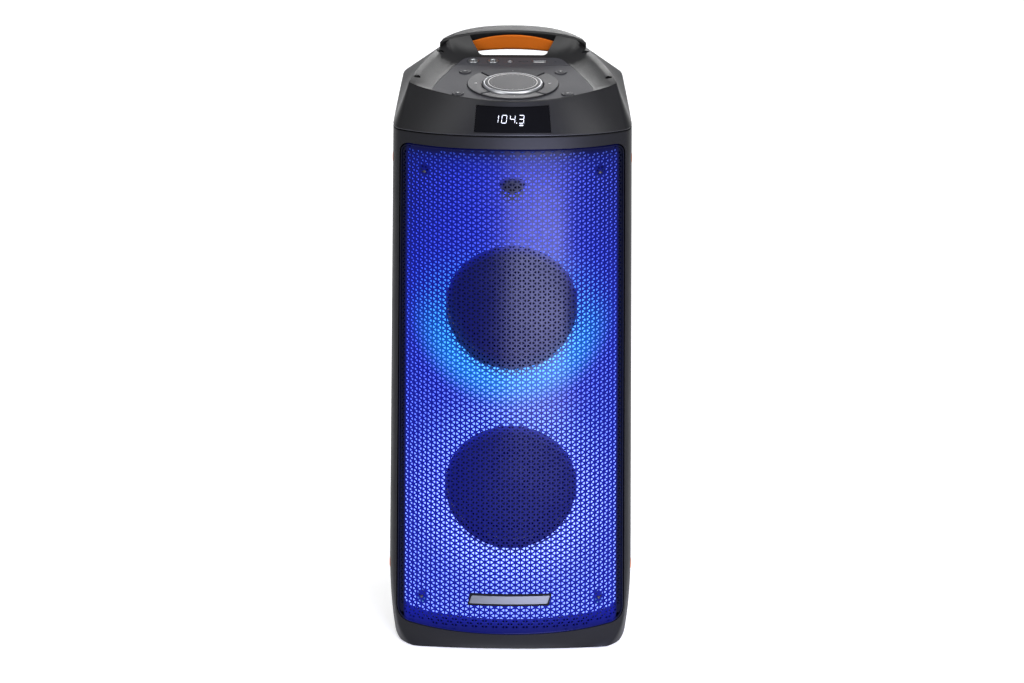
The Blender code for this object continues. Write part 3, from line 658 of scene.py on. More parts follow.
BODY_PLAN = plan(
    FACE_HALF_WIDTH,
    face_depth,
    ((HALF_WIDTH, 0.0440), (HALF_WIDTH, 0.062)),
    ((0.1295, 0.110), (0.1215, 0.226)),
    ((0.1185, BODY_DEPTH), (0.088, BODY_DEPTH)),
)
FOOT_PLAN = plan(
    0.1035,
    lambda x: 0.0165 + 0.75 * x**2,
    ((0.1128, 0.0320), (0.1188, 0.066)),
    ((0.1288, 0.118), (0.1170, 0.226)),
    ((0.1140, 0.250), (0.085, 0.250)),
)
RIM_PLAN = plan(
    RIM_HALF_WIDTH,
    rim_depth,
    ((0.1152, 0.0682), (0.1130, 0.0740)),
    ((0.1050, 0.1190), (0.0815, 0.179)),
    ((0.0740, 0.206), (0.050, 0.2135)),
)
RAIL_PLAN = plan(
    0.108,
    lambda x: rim_depth(x) + 0.0016,
    ((0.1094, 0.0650), (0.1070, 0.0725)),
    ((0.0985, 0.1170), (0.0750, 0.176)),
    ((0.0700, 0.1865), (0.056, 0.187)),
)
DECK_PLAN = plan(
    0.084,
    lambda x: rim_depth(x) + 0.0034,
    ((0.0905, 0.0500), (0.0875, 0.060)),
    ((0.0770, 0.1000), (0.0570, 0.149)),
    ((0.0530, 0.1590), (0.044, 0.1595)),
)


def ease(share):
    share = min(max(share, 0.0), 1.0)
    return share * (2 - share)


def smooth(share):
    share = min(max(share, 0.0), 1.0)
    return share * share * (3 - 2 * share)


def seam_height(depth):
    """Height of the seam between the body and the band."""
    return SEAM_Z - SEAM_DROP * ease(depth / 0.08)


def rail_height(depth):
    """Height of the top of the rails."""
    return RIM_Z + 0.003 * ease((depth - 0.060) / 0.040)


def widen(z):
    """How much wider the body is at a height than at its middle height."""
    return 1 + WIDENING * (WIDENING_Z - z)


def foot_outline(front, side):
    """The plan outline of the foot, from its shares of the way to the foot plan."""
    outline = []
    for (xa, da), (xb, db) in zip(BODY_PLAN, FOOT_PLAN):
        share = front + (side - front) * smooth((da - 0.030) / 0.022)
        outline.append((xa + (xb - xa) * share, da + (db - da) * share))
    return outline


def ring(outline, height):
    if callable(height):
        return [(x, y_at(d), height(d)) for x, d in outline]
    return [(x, y_at(d), height) for x, d in outline]


def body_ring(outline, height):
    """A ring on a plan outline of the body, which widens towards its foot."""
    return [(x * widen(z), y, z) for x, y, z in ring(outline, height)]


def arched_outline(half, lowest, highest, low_round, high_round, steps=12):
    """Front outline whose bottom and top are low arcs: x, z points."""

    def bottom(x):
        return lowest + 0.42 * x**2

    def top(x):
        return highest - 0.26 * x**2

    flat_low, flat_high = half - low_round, half - high_round
    right = [(flat_low * i / steps, bottom(flat_low * i / steps)) for i in range(steps + 1)]
    corner = right[-1]
    right += bend(corner, (half, corner[1]), (half, corner[1] + low_round), 10)
    start = (half, top(flat_high) - high_round)
    right += [(half, right[-1][1] + (start[1] - right[-1][1]) * i / 30) for i in range(1, 31)]
    right += bend(start, (half, top(flat_high)), (flat_high, top(flat_high)), 10)
    right += [(flat_high * i / steps, top(flat_high * i / steps)) for i in range(steps - 1, -1, -1)]
    outline = right + [(-x, z) for x, z in reversed(right[1:-1])]
    return [(x * widen(z), z) for x, z in outline]


GRILLE_HALF_WIDTH = 0.1234
GRILLE_BOTTOM = 0.0248
GRILLE_TOP = 0.591


def front_outline(margin):
    """The outline of the grille, moved outwards by a margin."""
    low, high = GRILLE_BOTTOM - margin, GRILLE_TOP + margin
    return arched_outline(GRILLE_HALF_WIDTH + margin, low, high, 0.018 + margin, 0.013 + margin)


def curved_sheet(name, outline, near, far, look, columns=60):
    """A sheet with a front outline that follows the curved face between two depths."""
    half = max(x for x, _ in outline) + 0.002
    low, high = min(z for _, z in outline) - 0.01, max(z for _, z in outline) + 0.01
    xs = [half * (2 * i / columns - 1) for i in range(columns + 1)]
    strip = [(x, face_depth(x) + near) for x in xs] + [(x, face_depth(x) + far) for x in reversed(xs)]
    sheet = loft(name, [body_ring(strip, z) for z in (low, high)], look)
    return cut(sheet, prism_back("trim", outline, -0.04, 0.09), operation="INTERSECT")


# ---------------------------------------------------------------- cabinet and housing

FOOT_LEVELS = (
    (0.0018, 1.0, 0.66),
    (0.003, 0.90, 0.62),
    (0.0055, 0.74, 0.56),
    (0.010, 0.50, 0.49),
    (0.017, 0.25, 0.41),
    (0.0248, 0.09, 0.33),
    (0.035, 0.02, 0.24),
    (0.050, 0.0, 0.14),
    (0.070, 0.0, 0.05),
    (0.095, 0.0, 0.0),
)


def build_cabinet():
    """The body shell, whose foot narrows at the front and less at the sides."""
    levels = curve_through(FOOT_LEVELS, 3)
    rings = [body_ring(foot_outline(front, side), z) for z, front, side in levels]
    rings += [body_ring(BODY_PLAN, z) for z in (0.2, 0.35, 0.5)]
    for shift, drop in ((0.0, 0.0016), (0.0002, 0.0009), (0.0007, 0.0003), (0.0014, 0.0), (0.0030, 0.0)):
        rings.append(body_ring(inset(BODY_PLAN, shift), lambda d, drop=drop: seam_height(d) - drop))
    rings.append(body_ring(inset(BODY_PLAN, 0.0030), 0.098))
    for z, front, side in ((0.070, 0.0, 0.05), (0.036, 0.03, 0.24), (0.012, 0.45, 0.47)):
        rings.append(body_ring(inset(foot_outline(front, side), 0.0030), z))
    shell = loft("shell_body", rings, BLACK)
    opening = prism_back("opening", front_outline(0.0011), -0.03, 0.046)
    rear = prism_back("rear_opening", rounded(0.0853, 0.2153, 0.008, 6, 0, 0.285), 0.24, 0.28)
    cut(shell, opening)
    cut(shell, rear)
    place(shell, "cabinet_shell", angle=38)


def crown_front(x):
    """Depth of the front of the handle's crown at x."""
    return 0.1875 - 0.0115 * (abs(x) / CROWN_HALF_WIDTH) ** 6


def crown_top(x):
    """Height of the top of the handle's crown at x."""
    return CROWN_TOP - CROWN_ARCH * x**2


def lip_height(x):
    """Height of the lower edge of the handle bar's front at x."""
    return max(CROWN_TOP - 0.0042 - (CROWN_ARCH + LIP_ARCH) * x**2, CROWN_BASE + 0.0004)


def bowl_edge(share):
    """Ring between the rail, at share 0, and the deck, at 1, with a hollow slope."""
    points = []
    for (xr, dr), (xd, dd) in zip(RAIL_PLAN, DECK_PLAN):
        high = rail_height(dr)
        towards = smooth((dr - 0.168) / 0.016) * smooth((CROWN_HALF_WIDTH - abs(xr)) / 0.010)
        high += (crown_top(xr) - 0.0014 - high) * towards
        dr += (crown_front(xr) + 0.0004 - dr) * towards
        x, d = xr + (xd - xr) * share, dr + (dd - dr) * share
        slope = (1 - share) ** 1.7
        points.append((x, y_at(d), DECK_Z + (high - DECK_Z) * slope))
    return points


def trough_outline(front_half, half, front, radius):
    """The slot for a hand behind the crown, with a rounded front."""
    corner = [(front_half - radius, front), (front_half, front), (front_half + radius * 0.22, front + radius)]
    right = [corner[0]] + bend(corner[0], corner[1], corner[2], 6) + [(half, 0.187), (half, 0.27)]
    return right + [(-x, d) for x, d in reversed(right)]


RIGHT_SLOTS = ((0.1052, 0.0830, 0.6485), (0.0800, 0.1650, 0.6510))
RAIL_SLOTS = [(side * x, depth, z) for side in (-1, 1) for x, depth, z in RIGHT_SLOTS]


def build_housing():
    """The band, the rails and the bowl round the deck, with the slot for a hand behind."""
    under = inset(BODY_PLAN, 0.008)
    rings = [body_ring(under, lambda d: seam_height(d) + 0.003)]
    rings.append(body_ring(under, lambda d: seam_height(d) + 0.0003))
    for shift, rise in ((0.0014, 0.0003), (0.0006, 0.0005), (0.0002, 0.0010), (0.0, 0.0016)):
        rings.append(body_ring(inset(BODY_PLAN, shift), lambda d, rise=rise: seam_height(d) + rise))
    base, top = rings[-1], ring(RIM_PLAN, lambda d: rail_height(d) - 0.0014)
    for step in range(1, 8):
        share = step / 8
        rings.append([tuple(Vector(a).lerp(Vector(b), share)) for a, b in zip(base, top)])
    rings.append(top)
    rings.append(ring(inset(RIM_PLAN, 0.0002), lambda d: rail_height(d) - 0.0006))
    rings.append(ring(inset(RIM_PLAN, 0.0007), lambda d: rail_height(d) - 0.0001))
    rings.append(ring(inset(RIM_PLAN, 0.0011), rail_height))
    rings += [bowl_edge(share / 10) for share in range(11)]
    rings.append(ring(DECK_PLAN, DECK_Z - 0.0006))
    rings.append(ring(DECK_PLAN, DECK_Z - 0.0043))
    bay = inset(DECK_PLAN, 0.0015)
    rings += [ring(bay, DECK_Z - 0.0043), ring(bay, 0.612)]
    housing = loft("housing_body", rings, HOUSING)
    trough = prism_up("trough", trough_outline(0.037, 0.0475, 0.1645, 0.006), 0.615, 0.69)
    tools = [trough, band_slab("recess", 0.3475, 0.105, 0.847, -0.005, 0.0023)]
    for x, depth, z in RAIL_SLOTS:
        tools.append(rod("well", (x, y_at(depth), z), 0.0040, 0.012, flat=0.8))
    cut(housing, *tools)
    place(housing, "top_housing", angle=38)
    for number, (x, depth, z) in enumerate(RAIL_SLOTS, 1):
        profile = (
            (0, 0.0), (0.0035, 0.0), (0.0035, 0.0006), (0.0030, 0.0011), (0.0012, 0.0012), (0.0010, 0.0004),
            (0, 0.0004),
        )
        place(turned(f"rail_screw_{number}", profile, STEEL, (x, y_at(depth), z - 0.0062), steps=28))


def band_point(share, rise, shift):
    """A point of the leaning band: shares of its half width and height, and a shift back."""
    low_x, high_x = FACE_HALF_WIDTH * share, RIM_HALF_WIDTH * share
    seam_z = seam_height(face_depth(low_x))
    low = Vector((low_x * widen(seam_z), face_depth(low_x), seam_z))
    high = Vector((high_x, rim_depth(high_x), RIM_Z))
    point = low.lerp(high, rise)
    return (point.x, y_at(point.y + shift), point.z)


def band_slab(name, half_share, low, high, near, far, look=BLACK, count=24):
    sections = []
    for i in range(count + 1):
        share = half_share * (2 * i / count - 1)
        corners = ((low, near), (high, near), (high, far), (low, far))
        sections.append([band_point(share, rise, shift) for rise, shift in corners])
    return loft(name, sections, look)


def band_prism(name, outline, near, far, look):
    """A thin prism on the leaning band. Its outline is x in metres, rise as a share."""
    rings = []
    for shift in (near, far):
        rings.append([band_point(x / BAND_HALF_WIDTH, rise, shift) for x, rise in outline])
    return loft(name, rings, look)


BAND_HEIGHT = 0.0388
DIGIT_HALF_WIDTH = 0.0026
DIGIT_HALF_HEIGHT = 0.0043
STROKE = 0.00020
DIGIT_LEAN = 0.10
SEGMENTS = {
    "a": (0, 1, False),
    "b": (1, 0.5, True),
    "c": (1, -0.5, True),
    "d": (0, -1, False),
    "e": (-1, -0.5, True),
    "f": (-1, 0.5, True),
    "g": (0, 0, False),
}
SHOWN = ((-0.0183, "bc"), (-0.0092, "abcdef"), (0.0, "bcfg"), (0.0097, "abcdg"))


def light_segment(name, outline):
    """A lit shape on the window, on an outline of x and height above the seam."""
    points = [(x, z / BAND_HEIGHT) for x, z in outline]
    place(band_prism(name, points, -0.00068, -0.0003, WHITE_LIGHT))


def build_display():
    """The glossy window with its row of lit segments."""
    share, low, high = 0.3445, 0.115, 0.837
    corners = ((-share, low), (share, low), (share, high), (-share, high))
    flat = [band_point(across, rise, 0) for across, rise in corners]
    outline = round_corners([(x, z) for x, _, z in flat], 0.0022)
    window = band_slab("window_pane", 0.3448, 0.112, 0.840, -0.0004, 0.0019, GLOSS, 32)
    cut(window, prism_back("trim", outline, -0.02, 0.06), operation="INTERSECT")
    place(soften(window, 0.0003, 2), "display_window", angle=50)
    middle_z = BAND_HEIGHT / 2
    for number, (x0, lit) in enumerate(SHOWN):
        for letter in lit:
            sx, sz, upright = SEGMENTS[letter]
            x, z = x0 + sx * DIGIT_HALF_WIDTH, middle_z + sz * DIGIT_HALF_HEIGHT
            length = (DIGIT_HALF_HEIGHT / 2 if upright else DIGIT_HALF_WIDTH) - 0.00035
            near = length - STROKE
            shape = [
                (length, 0), (near, STROKE), (-near, STROKE), (-length, 0), (-near, -STROKE), (near, -STROKE),
            ]
            if upright:
                shape = [(b, a) for a, b in shape]
            points = [(x + a + (z + b - middle_z) * DIGIT_LEAN, z + b) for a, b in shape]
            light_segment(f"digit_{number}_{letter}", points)
    base = middle_z - DIGIT_HALF_HEIGHT
    light_segment("digit_point", rounded(0.0005, 0.0005, 0.0004, 3, 0.0044, base + 0.0002))
    light_segment("digit_mark", rounded(0.0020, 0.00045, 0.0003, 3, 0.0095, base - 0.0024))


# ---------------------------------------------------------------- handle


def build_handle():
    """The arched bar and the orange grip under its front edge."""
    sections = []
    count = 64
    for i in range(count + 1):
        share = 2 * i / count - 1
        x = CROWN_HALF_WIDTH * math.copysign(1 - (1 - abs(share)) ** 1.25, share)
        s = abs(x) / CROWN_HALF_WIDTH
        front, rear, top, base = crown_front(x), 0.2105 - 0.0265 * s**4, crown_top(x), CROWN_BASE
        end = smooth((CROWN_HALF_WIDTH - abs(x)) / 0.004)
        top -= 0.0024 * (1 - end)
        front, rear = front + 0.0010 * (1 - end), rear - 0.0016 * (1 - end)
        groove = 0.0033 * smooth((0.0482 - abs(x)) / 0.0015)
        lip_z = min(lip_height(x), top - 0.0024)
        key = [
            (front + groove + 0.0002, base), (rear - 0.001, base), (rear, base + 0.001), (rear, top - 0.0035),
        ]
        key += bend(key[-1], (rear, top), (rear - 0.0045, top), 6)
        key += [(front + 0.0045, top + 0.00015)]
        key += bend(key[-1], (front, top + 0.0001), (front, top - 0.0021), 6)
        key += [
            (front + 0.0001, lip_z + 0.0004), (front + 0.0006, lip_z),
            (front + groove + 0.0001, lip_z - 0.0001),
        ]
        sections.append([(x, y_at(d), z) for d, z in key])
    place(loft("crown_bar", sections, HOUSING), "handle_bar", angle=42)
    sections = []
    for i in range(41):
        share = 2 * i / 40 - 1
        x = GRIP_HALF_WIDTH * math.copysign(1 - (1 - abs(share)) ** 1.2, share)
        end = 1 - smooth((GRIP_HALF_WIDTH - abs(x)) / 0.0015)
        low = 0.6415 - 1.6 * x * x
        top = lip_height(x) - GAP - 0.0003 * end
        front = 0.1865 + 0.0008 * end
        key = [(0.1900, top), (front + 0.0006, top)]
        key += bend(key[-1], (front, top), (front, top - 0.001), 2)
        key += bend((front, low + 0.0055), (front, low), (0.1915, low), 6)
        key += bend((0.2035, low), (0.2075, low), (0.2075, low + 0.0035), 5)
        key += [(0.2075, 0.6479), (0.1902, 0.6479)]
        sections.append([(x, y_at(d), z) for d, z in key])
    place(loft("grip_pad", sections, ORANGE), "handle_grip", angle=45)


# ---------------------------------------------------------------- grille and light panel


def arc_table(limit, steps=400):
    """Arc length along the curved face at evenly spaced x."""
    xs = [limit * i / steps for i in range(steps + 1)]
    lengths = [0.0]
    for a, b in zip(xs, xs[1:]):
        lengths.append(lengths[-1] + math.hypot(b - a, face_depth(b) - face_depth(a)))
    return xs, lengths


ARC_XS, ARC_LENGTHS = arc_table(0.128)


def x_at_arc(length):
    """The x on the front curve that is a given length along it from the middle."""
    target = min(abs(length), ARC_LENGTHS[-1])
    low, high = 0, len(ARC_LENGTHS) - 1
    while high - low > 1:
        half = (low + high) // 2
        if ARC_LENGTHS[half] <= target:
            low = half
        else:
            high = half
    span = ARC_LENGTHS[high] - ARC_LENGTHS[low]
    x = ARC_XS[low] + (ARC_XS[high] - ARC_XS[low]) * (target - ARC_LENGTHS[low]) / span
    return math.copysign(x, length)


def room(x, z):
    """How far a point of the face lies inside the grille's outline."""
    bottom, top = GRILLE_BOTTOM + 0.42 * x * x, GRILLE_TOP - 0.26 * x * x
    radius = 0.018 if z < 0.3 else 0.013
    across = GRILLE_HALF_WIDTH - abs(x)
    along = min(z - bottom, top - z)
    if across < radius and along < radius:
        return radius - math.hypot(radius - across, radius - along)
    return min(across, along)


PITCH_ACROSS = 0.00558
PITCH_UP = 0.0066
HOLE_SHARE = 0.575
EDGE_ROOM = 0.0012


def held_inside(s, z):
    """Pull a lattice point in until it is inside the edge of the sheet."""
    for _ in range(60):
        x = x_at_arc(s)
        gap = EDGE_ROOM - room(x, z)
        if gap <= 0:
            return s, z
        step = 0.0002
        ds = room(x_at_arc(s + step), z) - room(x_at_arc(s - step), z)
        dz = room(x, z + step) - room(x, z - step)
        size = math.hypot(ds, dz) or 1.0
        s, z = s + gap * ds / size * 0.8, z + gap * dz / size * 0.8
    return s, z


def build_grille_field(name, low, high):
    """The perforated sheet between two rows: a lattice of triangles with round-nosed
    triangular holes."""
    verts, index, faces = [], {}, []

    def add(s, z):
        x = x_at_arc(s)
        verts.append((x * widen(z), y_at(face_depth(x) + GRILLE_NEAR), z))
        return len(verts) - 1

    def lattice(i, j2):
        if (i, j2) not in index:
            s, z = held_inside(i * PITCH_ACROSS, j2 * PITCH_UP / 2)
            index[(i, j2)] = (add(s, z), s, z)
        return index[(i, j2)]

    for i in range(-23, 23):
        for j2 in range(low, high):
            odd = (i + j2) % 2
            if odd:
                keys = ((i, j2 + 1), (i, j2 - 1), (i + 1, j2))
            else:
                keys = ((i + 1, j2 - 1), (i + 1, j2 + 1), (i, j2))
            flat = [(a * PITCH_ACROSS, b * PITCH_UP / 2) for a, b in keys]
            rooms = [room(x_at_arc(s), z) for s, z in flat]
            cs, cz = sum(p[0] for p in flat) / 3, sum(p[1] for p in flat) / 3
            if room(x_at_arc(cs), cz) < 0.0004 or max(rooms) < EDGE_ROOM:
                continue
            corners = [lattice(*key) for key in keys]
            ids = [c[0] for c in corners]
            if min(rooms) < 0.0017:
                faces.append(ids)
                continue
            hole = []
            for k in range(3):
                here, after, before = corners[k], corners[(k + 1) % 3], corners[k - 1]
                for other in (before, after):
                    ps = cs + (here[1] + (other[1] - here[1]) * 0.13 - cs) * HOLE_SHARE
                    pz = cz + (here[2] + (other[2] - here[2]) * 0.13 - cz) * HOLE_SHARE
                    hole.append(add(ps, pz))
            for k in range(3):
                a, b = 2 * k, (2 * k + 1)
                nxt = (2 * k + 2) % 6
                faces.append([ids[k], hole[a], hole[b]])
                faces.append([ids[k], hole[b], hole[nxt], ids[(k + 1) % 3]])
    field = raw(name, verts, faces, PAINT_AND_PAINTED_GLOW)
    if field.data.polygons[0].normal.y > 0:
        field.data.flip_normals()
    return field


POSTS = ((-0.096, 0.559), (0.096, 0.559), (-0.0975, 0.0614), (0.0975, 0.0614))


def build_grille():
    """The perforated sheet in two halves, its folded edge, and the posts behind its corners."""
    lowest, split, highest = 6, 94, 182
    for name, low, high in (("grille_low", lowest, split), ("grille_high", split, highest)):
        field = build_grille_field(name, low, high)
        modifier = field.modifiers.new("thick", "SOLIDIFY")
        modifier.thickness = 0.0014
        modifier.offset = -1.0
        settle(field)
        place(field, "front_grille", angle=30)
    outline = front_outline(0)
    rings = []
    section = (
        (0.0, 0.0026), (0.0, 0.0006), (0.0003, 0.0001), (0.0009, -0.0001), (0.0016, 0.0002), (0.0019, 0.0007),
        (0.0019, 0.0026),
    )
    for i, (x, z) in enumerate(outline):
        before, after = Vector(outline[i - 1]), Vector(outline[(i + 1) % len(outline)])
        along = (after - before).normalized()
        points = []
        for inwards, back in section:
            px, pz = x - along.y * inwards, z + along.x * inwards
            points.append((px, y_at(face_depth(px / widen(pz)) + back), pz))
        rings.append(points)
    place(loft("grille_edge", rings, PAINT_AND_PAINTED_GLOW, closed=True), "front_grille", angle=50)
    for number, (x, z) in enumerate(POSTS, 1):
        near = face_depth(x / widen(z)) + 0.0030
        far = face_depth((abs(x) - 0.004) / widen(z)) + PANEL_OFFSET - GAP
        profile = (
            (0, near), (0.0030, near), (0.0038, near + 0.0006), (0.0040, near + 0.0015), (0.0040, far),
            (0, far),
        )
        place(turned(f"grille_post_{number}", profile, RUBBER, (x, y_at(0), z), True, 32), "front_grille")
        head = face_depth(x / widen(z)) - 0.0004
        profile = (
            (0, head), (0.0010, head + 0.0002), (0.0017, head + 0.0009), (0.0017, near + 0.001),
            (0, near + 0.001),
        )
        place(turned(f"grille_pin_{number}", profile, DARK_STEEL, (x, y_at(0), z), True, 20))


def build_badge():
    """The blank badge: a dark plate with slanted ends round a plain metal inlay."""
    low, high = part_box("badge_plate")
    centre, half_z = (low.z + high.z) / 2, (high.z - low.z) / 2
    shape = [(-0.0472, -half_z), (0.0428, -half_z), (0.0458, half_z), (-0.0442, half_z)]
    outline = [(x, z + centre) for x, z in round_corners(shape, 0.0016)]
    blank = curved_sheet("badge_blank", outline, -0.0017, 0.0002, DARK_GLOSS, 40)
    place(soften(blank, 0.0004), "badge_plate")
    inner = [(x * 0.955, centre + z * 0.66) for x, z in round_corners(shape, 0.0016)]
    place(soften(curved_sheet("badge_inlay", inner, -0.0020, -0.0014, BADGE_METAL, 40), 0.0002))


def build_light_panel():
    """The lit diffuser, open before each drive unit, with a wall round each woofer."""
    outline = arched_outline(0.1168, 0.0375, 0.5832, 0.012, 0.010)
    panel = curved_sheet("diffuser_sheet", outline, PANEL_OFFSET, PANEL_OFFSET + 0.0025, DIFFUSER)
    tools = []
    for z in WOOFERS.values():
        tools.append(rod("hole", (0, y_at(0.03), z), WOOFER_OPENING, 0.08, False, 128))
    z = middle("tweeter_dome").z
    right = [
        (0.0, 0.0092), (0.0108, 0.0088), (0.014, 0.0055), (0.0138, 0.0), (0.0095, -0.0058), (0.0035, -0.0088),
    ]
    shield = [(x, z + dz) for x, dz in right] + [(-x, z + dz) for x, dz in reversed(right[1:])]
    tools.append(prism_back("window", shield, -0.01, 0.06))
    cut(panel, *tools)
    place(panel, "led_panel", angle=30)
    for side, z in WOOFERS.items():
        profile = ((0.0719, 0.0), (0.0719, 0.030), (0.0745, 0.030), (0.0745, 0.0))
        collar = turned(f"opening_wall_{side}", profile, BLACK, (0, y_at(0.0182), z), True, 128)
        xs = [0.09 * (2 * i / 40 - 1) for i in range(41)]
        strip = [(x, face_depth(x) + PANEL_OFFSET + 0.0026) for x in xs] + [(x, 0.0452) for x in reversed(xs)]
        cut(collar, prism_up("trim", strip, z - 0.09, z + 0.09), operation="INTERSECT")
        place(collar, angle=40)


# ---------------------------------------------------------------- drive units


def build_woofer(side, z):
    """A woofer's basket, screws, rolled surround, ribbed cone and dust cap."""
    centre = (0, y_at(DRIVER_PLANE), z)
    body = f"woofer_{side}_cone"
    frame_ring = [
        (0.0797, 0.041), (0.0702, 0.041), (0.0702, 0.054), (0.044, 0.084), (0.044, 0.087), (0.0165, 0.087),
    ]
    frame_ring += [(0.0165, 0.085), (0.0415, 0.083), (0.0677, 0.053), (0.0677, 0.0403), (0.0697, 0.0403)]
    frame_ring += [
        (0.0697, 0.0375), (0.0703, 0.0369), (0.0715, 0.0368), (0.0785, 0.0368), (0.0795, 0.0371),
        (0.0800, 0.0380),
    ]
    basket = turned(f"basket_{side}", frame_ring, DARK_STEEL, centre, True, 96)
    place(basket, f"woofer_{side}_basket", angle=35)
    for number in range(8):
        across, up = polar(0.0748, math.radians(22.5 + 45 * number))
        where = (across, centre[1] + 0.0350, z + up)
        profile = (
            (0, 0.0), (0.0016, 0.0001), (0.0026, 0.0007), (0.0030, 0.0016), (0.0030, 0.0019), (0, 0.0019),
        )
        place(turned(f"woofer_{side}_screw_{number}", profile, DARK_STEEL, where, True, 20))
    roll_mid, roll_half = 0.06385, 0.00555
    roll = arc(roll_mid, 0.0390, -roll_half, -0.006, 0, 180, 14)
    roll += arc(roll_mid, 0.0401, roll_half - 0.001, -0.006, 0, 180, 14)
    surround = turned(f"roll_{side}", roll, RUBBER, centre, True, 96)
    place(surround, f"woofer_{side}_surround", angle=50)
    wall = []
    for i in range(25):
        share = i / 24
        radius = 0.0580 - 0.0430 * share
        sag = 0.0012 * math.sin(math.pi * share)
        rib = 0.00035 * math.cos(share * math.pi * 10) * (1 if 0.05 < share < 0.9 else 0)
        wall.append((radius, 0.0398 + 0.0300 * share + sag + rib))
    back = [(radius, depth + 0.0012) for radius, depth in reversed(wall)]
    cone = turned(f"cone_wall_{side}", wall + back, PAPER, centre, True, 96)
    place(cone, f"woofer_{side}_cone", body=body, angle=60)
    cap = [(0.0, 0.0560)]
    for i in range(1, 13):
        angle = math.pi / 2 * i / 12
        cap.append((0.0205 * math.sin(angle), 0.0560 + 0.0075 * (1 - math.cos(angle)) ** 0.9))
    cap += [(0.0216, 0.0642), (0.0216, 0.0650), (0.0190, 0.0646), (0.012, 0.0600), (0, 0.0573)]
    dome = turned(f"dome_cap_{side}", cap, RUBBER, centre, True)
    place(dome, f"woofer_{side}_dust_cap", body=body, angle=60)


def build_tweeter():
    """The tweeter's flared ring and its dome."""
    z = middle("tweeter_dome").z
    centre = (0, y_at(DRIVER_PLANE), z)
    horn = [
        (0.027, 0.0385), (0.027, 0.041), (0.0225, 0.041), (0.0225, 0.0465), (0.0145, 0.0465),
        (0.0143, 0.0442), (0.0148, 0.0415),
    ]
    horn += bend(horn[-1], (0.0160, 0.0380), (0.0200, 0.0370), 6) + [(0.0262, 0.0368), (0.0268, 0.0375)]
    place(turned("horn_ring", horn, BLACK, centre, True, 64), "tweeter_face_ring", angle=45)
    dome = [(0.0, 0.0388)] + arc(0, 0.0442, 0.0125, 0.0054, -90, 0, 10)[1:]
    dome += [(0.0119, 0.0447), (0.0086, 0.0416), (0.005, 0.0401), (0.0, 0.0396)]
    place(turned("dome_skin", dome, PAPER, centre, True, 48), "tweeter_dome", body="tweeter_dome", angle=60)


# ---------------------------------------------------------------- deck and controls


def clipped(outline, low, high):
    """The part of an outline between two depths."""
    kept = []
    for i, here in enumerate(outline):
        after = outline[(i + 1) % len(outline)]
        if low <= here[1] <= high:
            kept.append(here)
        for level in (low, high):
            if (here[1] - level) * (after[1] - level) < 0:
                share = (level - here[1]) / (after[1] - here[1])
                kept.append((here[0] + share * (after[0] - here[0]), level))
    return kept


CORNERS = ("rear_left", "rear_right", "front_left", "front_right")
BUTTONS = {f"button_{corner}": middle(f"button_{corner}") for corner in CORNERS}
JACKS = {name: middle(name) for name in ("mic_jack_left", "mic_jack_right")}
STRIP_DEPTH = 0.133


def build_deck():
    """The deck plate and the jack strip, with their openings."""
    fitted = inset(DECK_PLAN, 0.0003)
    plate = prism_up("deck_plate", clipped(fitted, 0.0, STRIP_DEPTH), DECK_Z - 0.004, DECK_Z, DECK)
    tools = [rod("ring", (0, KNOB_AXIS.y, DECK_Z), 0.0506, 0.03, steps=128)]
    tools += [rod("button", (p.x, p.y, DECK_Z), 0.0070, 0.03, steps=48) for p in BUTTONS.values()]
    cut(plate, *tools)
    place(soften(plate, 0.0004, 2), "control_deck", angle=35)
    strip = prism_up("strip_plate", clipped(fitted, STRIP_DEPTH + 0.0006, 0.2), DECK_Z - 0.004, DECK_Z, DECK)
    tools = [rod("jack", (p.x, p.y, DECK_Z), 0.0063, 0.03, steps=48) for p in JACKS.values()]
    audio, port = middle("audio_jack"), middle("usb_port")
    depth = port.y + FRONT
    tools.append(rod("audio", (audio.x, audio.y, DECK_Z), 0.0033, 0.03, steps=32))
    low, high = (port.x - 0.0077, depth - 0.0039, 0.63), (port.x + 0.0077, depth + 0.0039, 0.66)
    tools.append(block("port", low, high, DECK))
    tools.append(block("slot", (0.0065, depth - 0.0006, 0.6415), (0.0170, depth + 0.0006, 0.66), DECK))
    tools.append(rod("pinhole", (0.0465, port.y, DECK_Z + 0.003), 0.0008, 0.01, steps=16))
    cut(strip, *tools)
    place(soften(strip, 0.0003, 2), "jack_strip", angle=35)


def sector(inner, outer, start, end, steps=22):
    """Radius and angle of points round a piece of a ring."""
    angles = [start + (end - start) * i / steps for i in range(steps + 1)]
    return [(outer, a) for a in angles] + [(inner, a) for a in reversed(angles)]


KEY_LEVELS = (
    (0.0343, 0.0503, 0.0, 0.638, 0.638),
    (0.0343, 0.0503, 0.0, 0.6428, 0.6440),
    (0.0346, 0.0500, 0.0045, 0.6432, 0.6445),
    (0.0352, 0.0494, 0.0100, 0.6434, 0.6448),
)


def build_keys():
    """Four keys in a ring, which slope down to the knob, each with a small mark."""
    split = 0.0008 / 0.0503 + math.radians(0.6)
    for number, name in enumerate(("right", "rear", "left", "front")):
        centre_angle = math.radians(90 * number)
        start, end = centre_angle - math.pi / 4 + split, centre_angle + math.pi / 4 - split
        rings = []
        for inner, outer, pinch, z_in, z_out in KEY_LEVELS:
            ring_points = []
            for radius, angle in sector(inner, outer, start + pinch, end - pinch):
                x, y = polar(radius, angle)
                ring_points.append((x, KNOB_AXIS.y + y, z_out if radius == outer else z_in))
            rings.append(ring_points)
        key = loft(f"ring_key_{name}", rings, KEYS)
        body = f"key_{name}"
        place(key, body, body=body, angle=35)
        cx, cy = 0.0424 * math.cos(centre_angle), KNOB_AXIS.y + 0.0424 * math.sin(centre_angle)
        for index, shape in enumerate(KEY_MARKS[name]):
            rings = [[(cx + a, cy + b, z) for a, b in shape] for z in (0.6434, 0.64465)]
            place(loft(f"mark_{name}_{index}", rings, WHITE_INK), body=body)


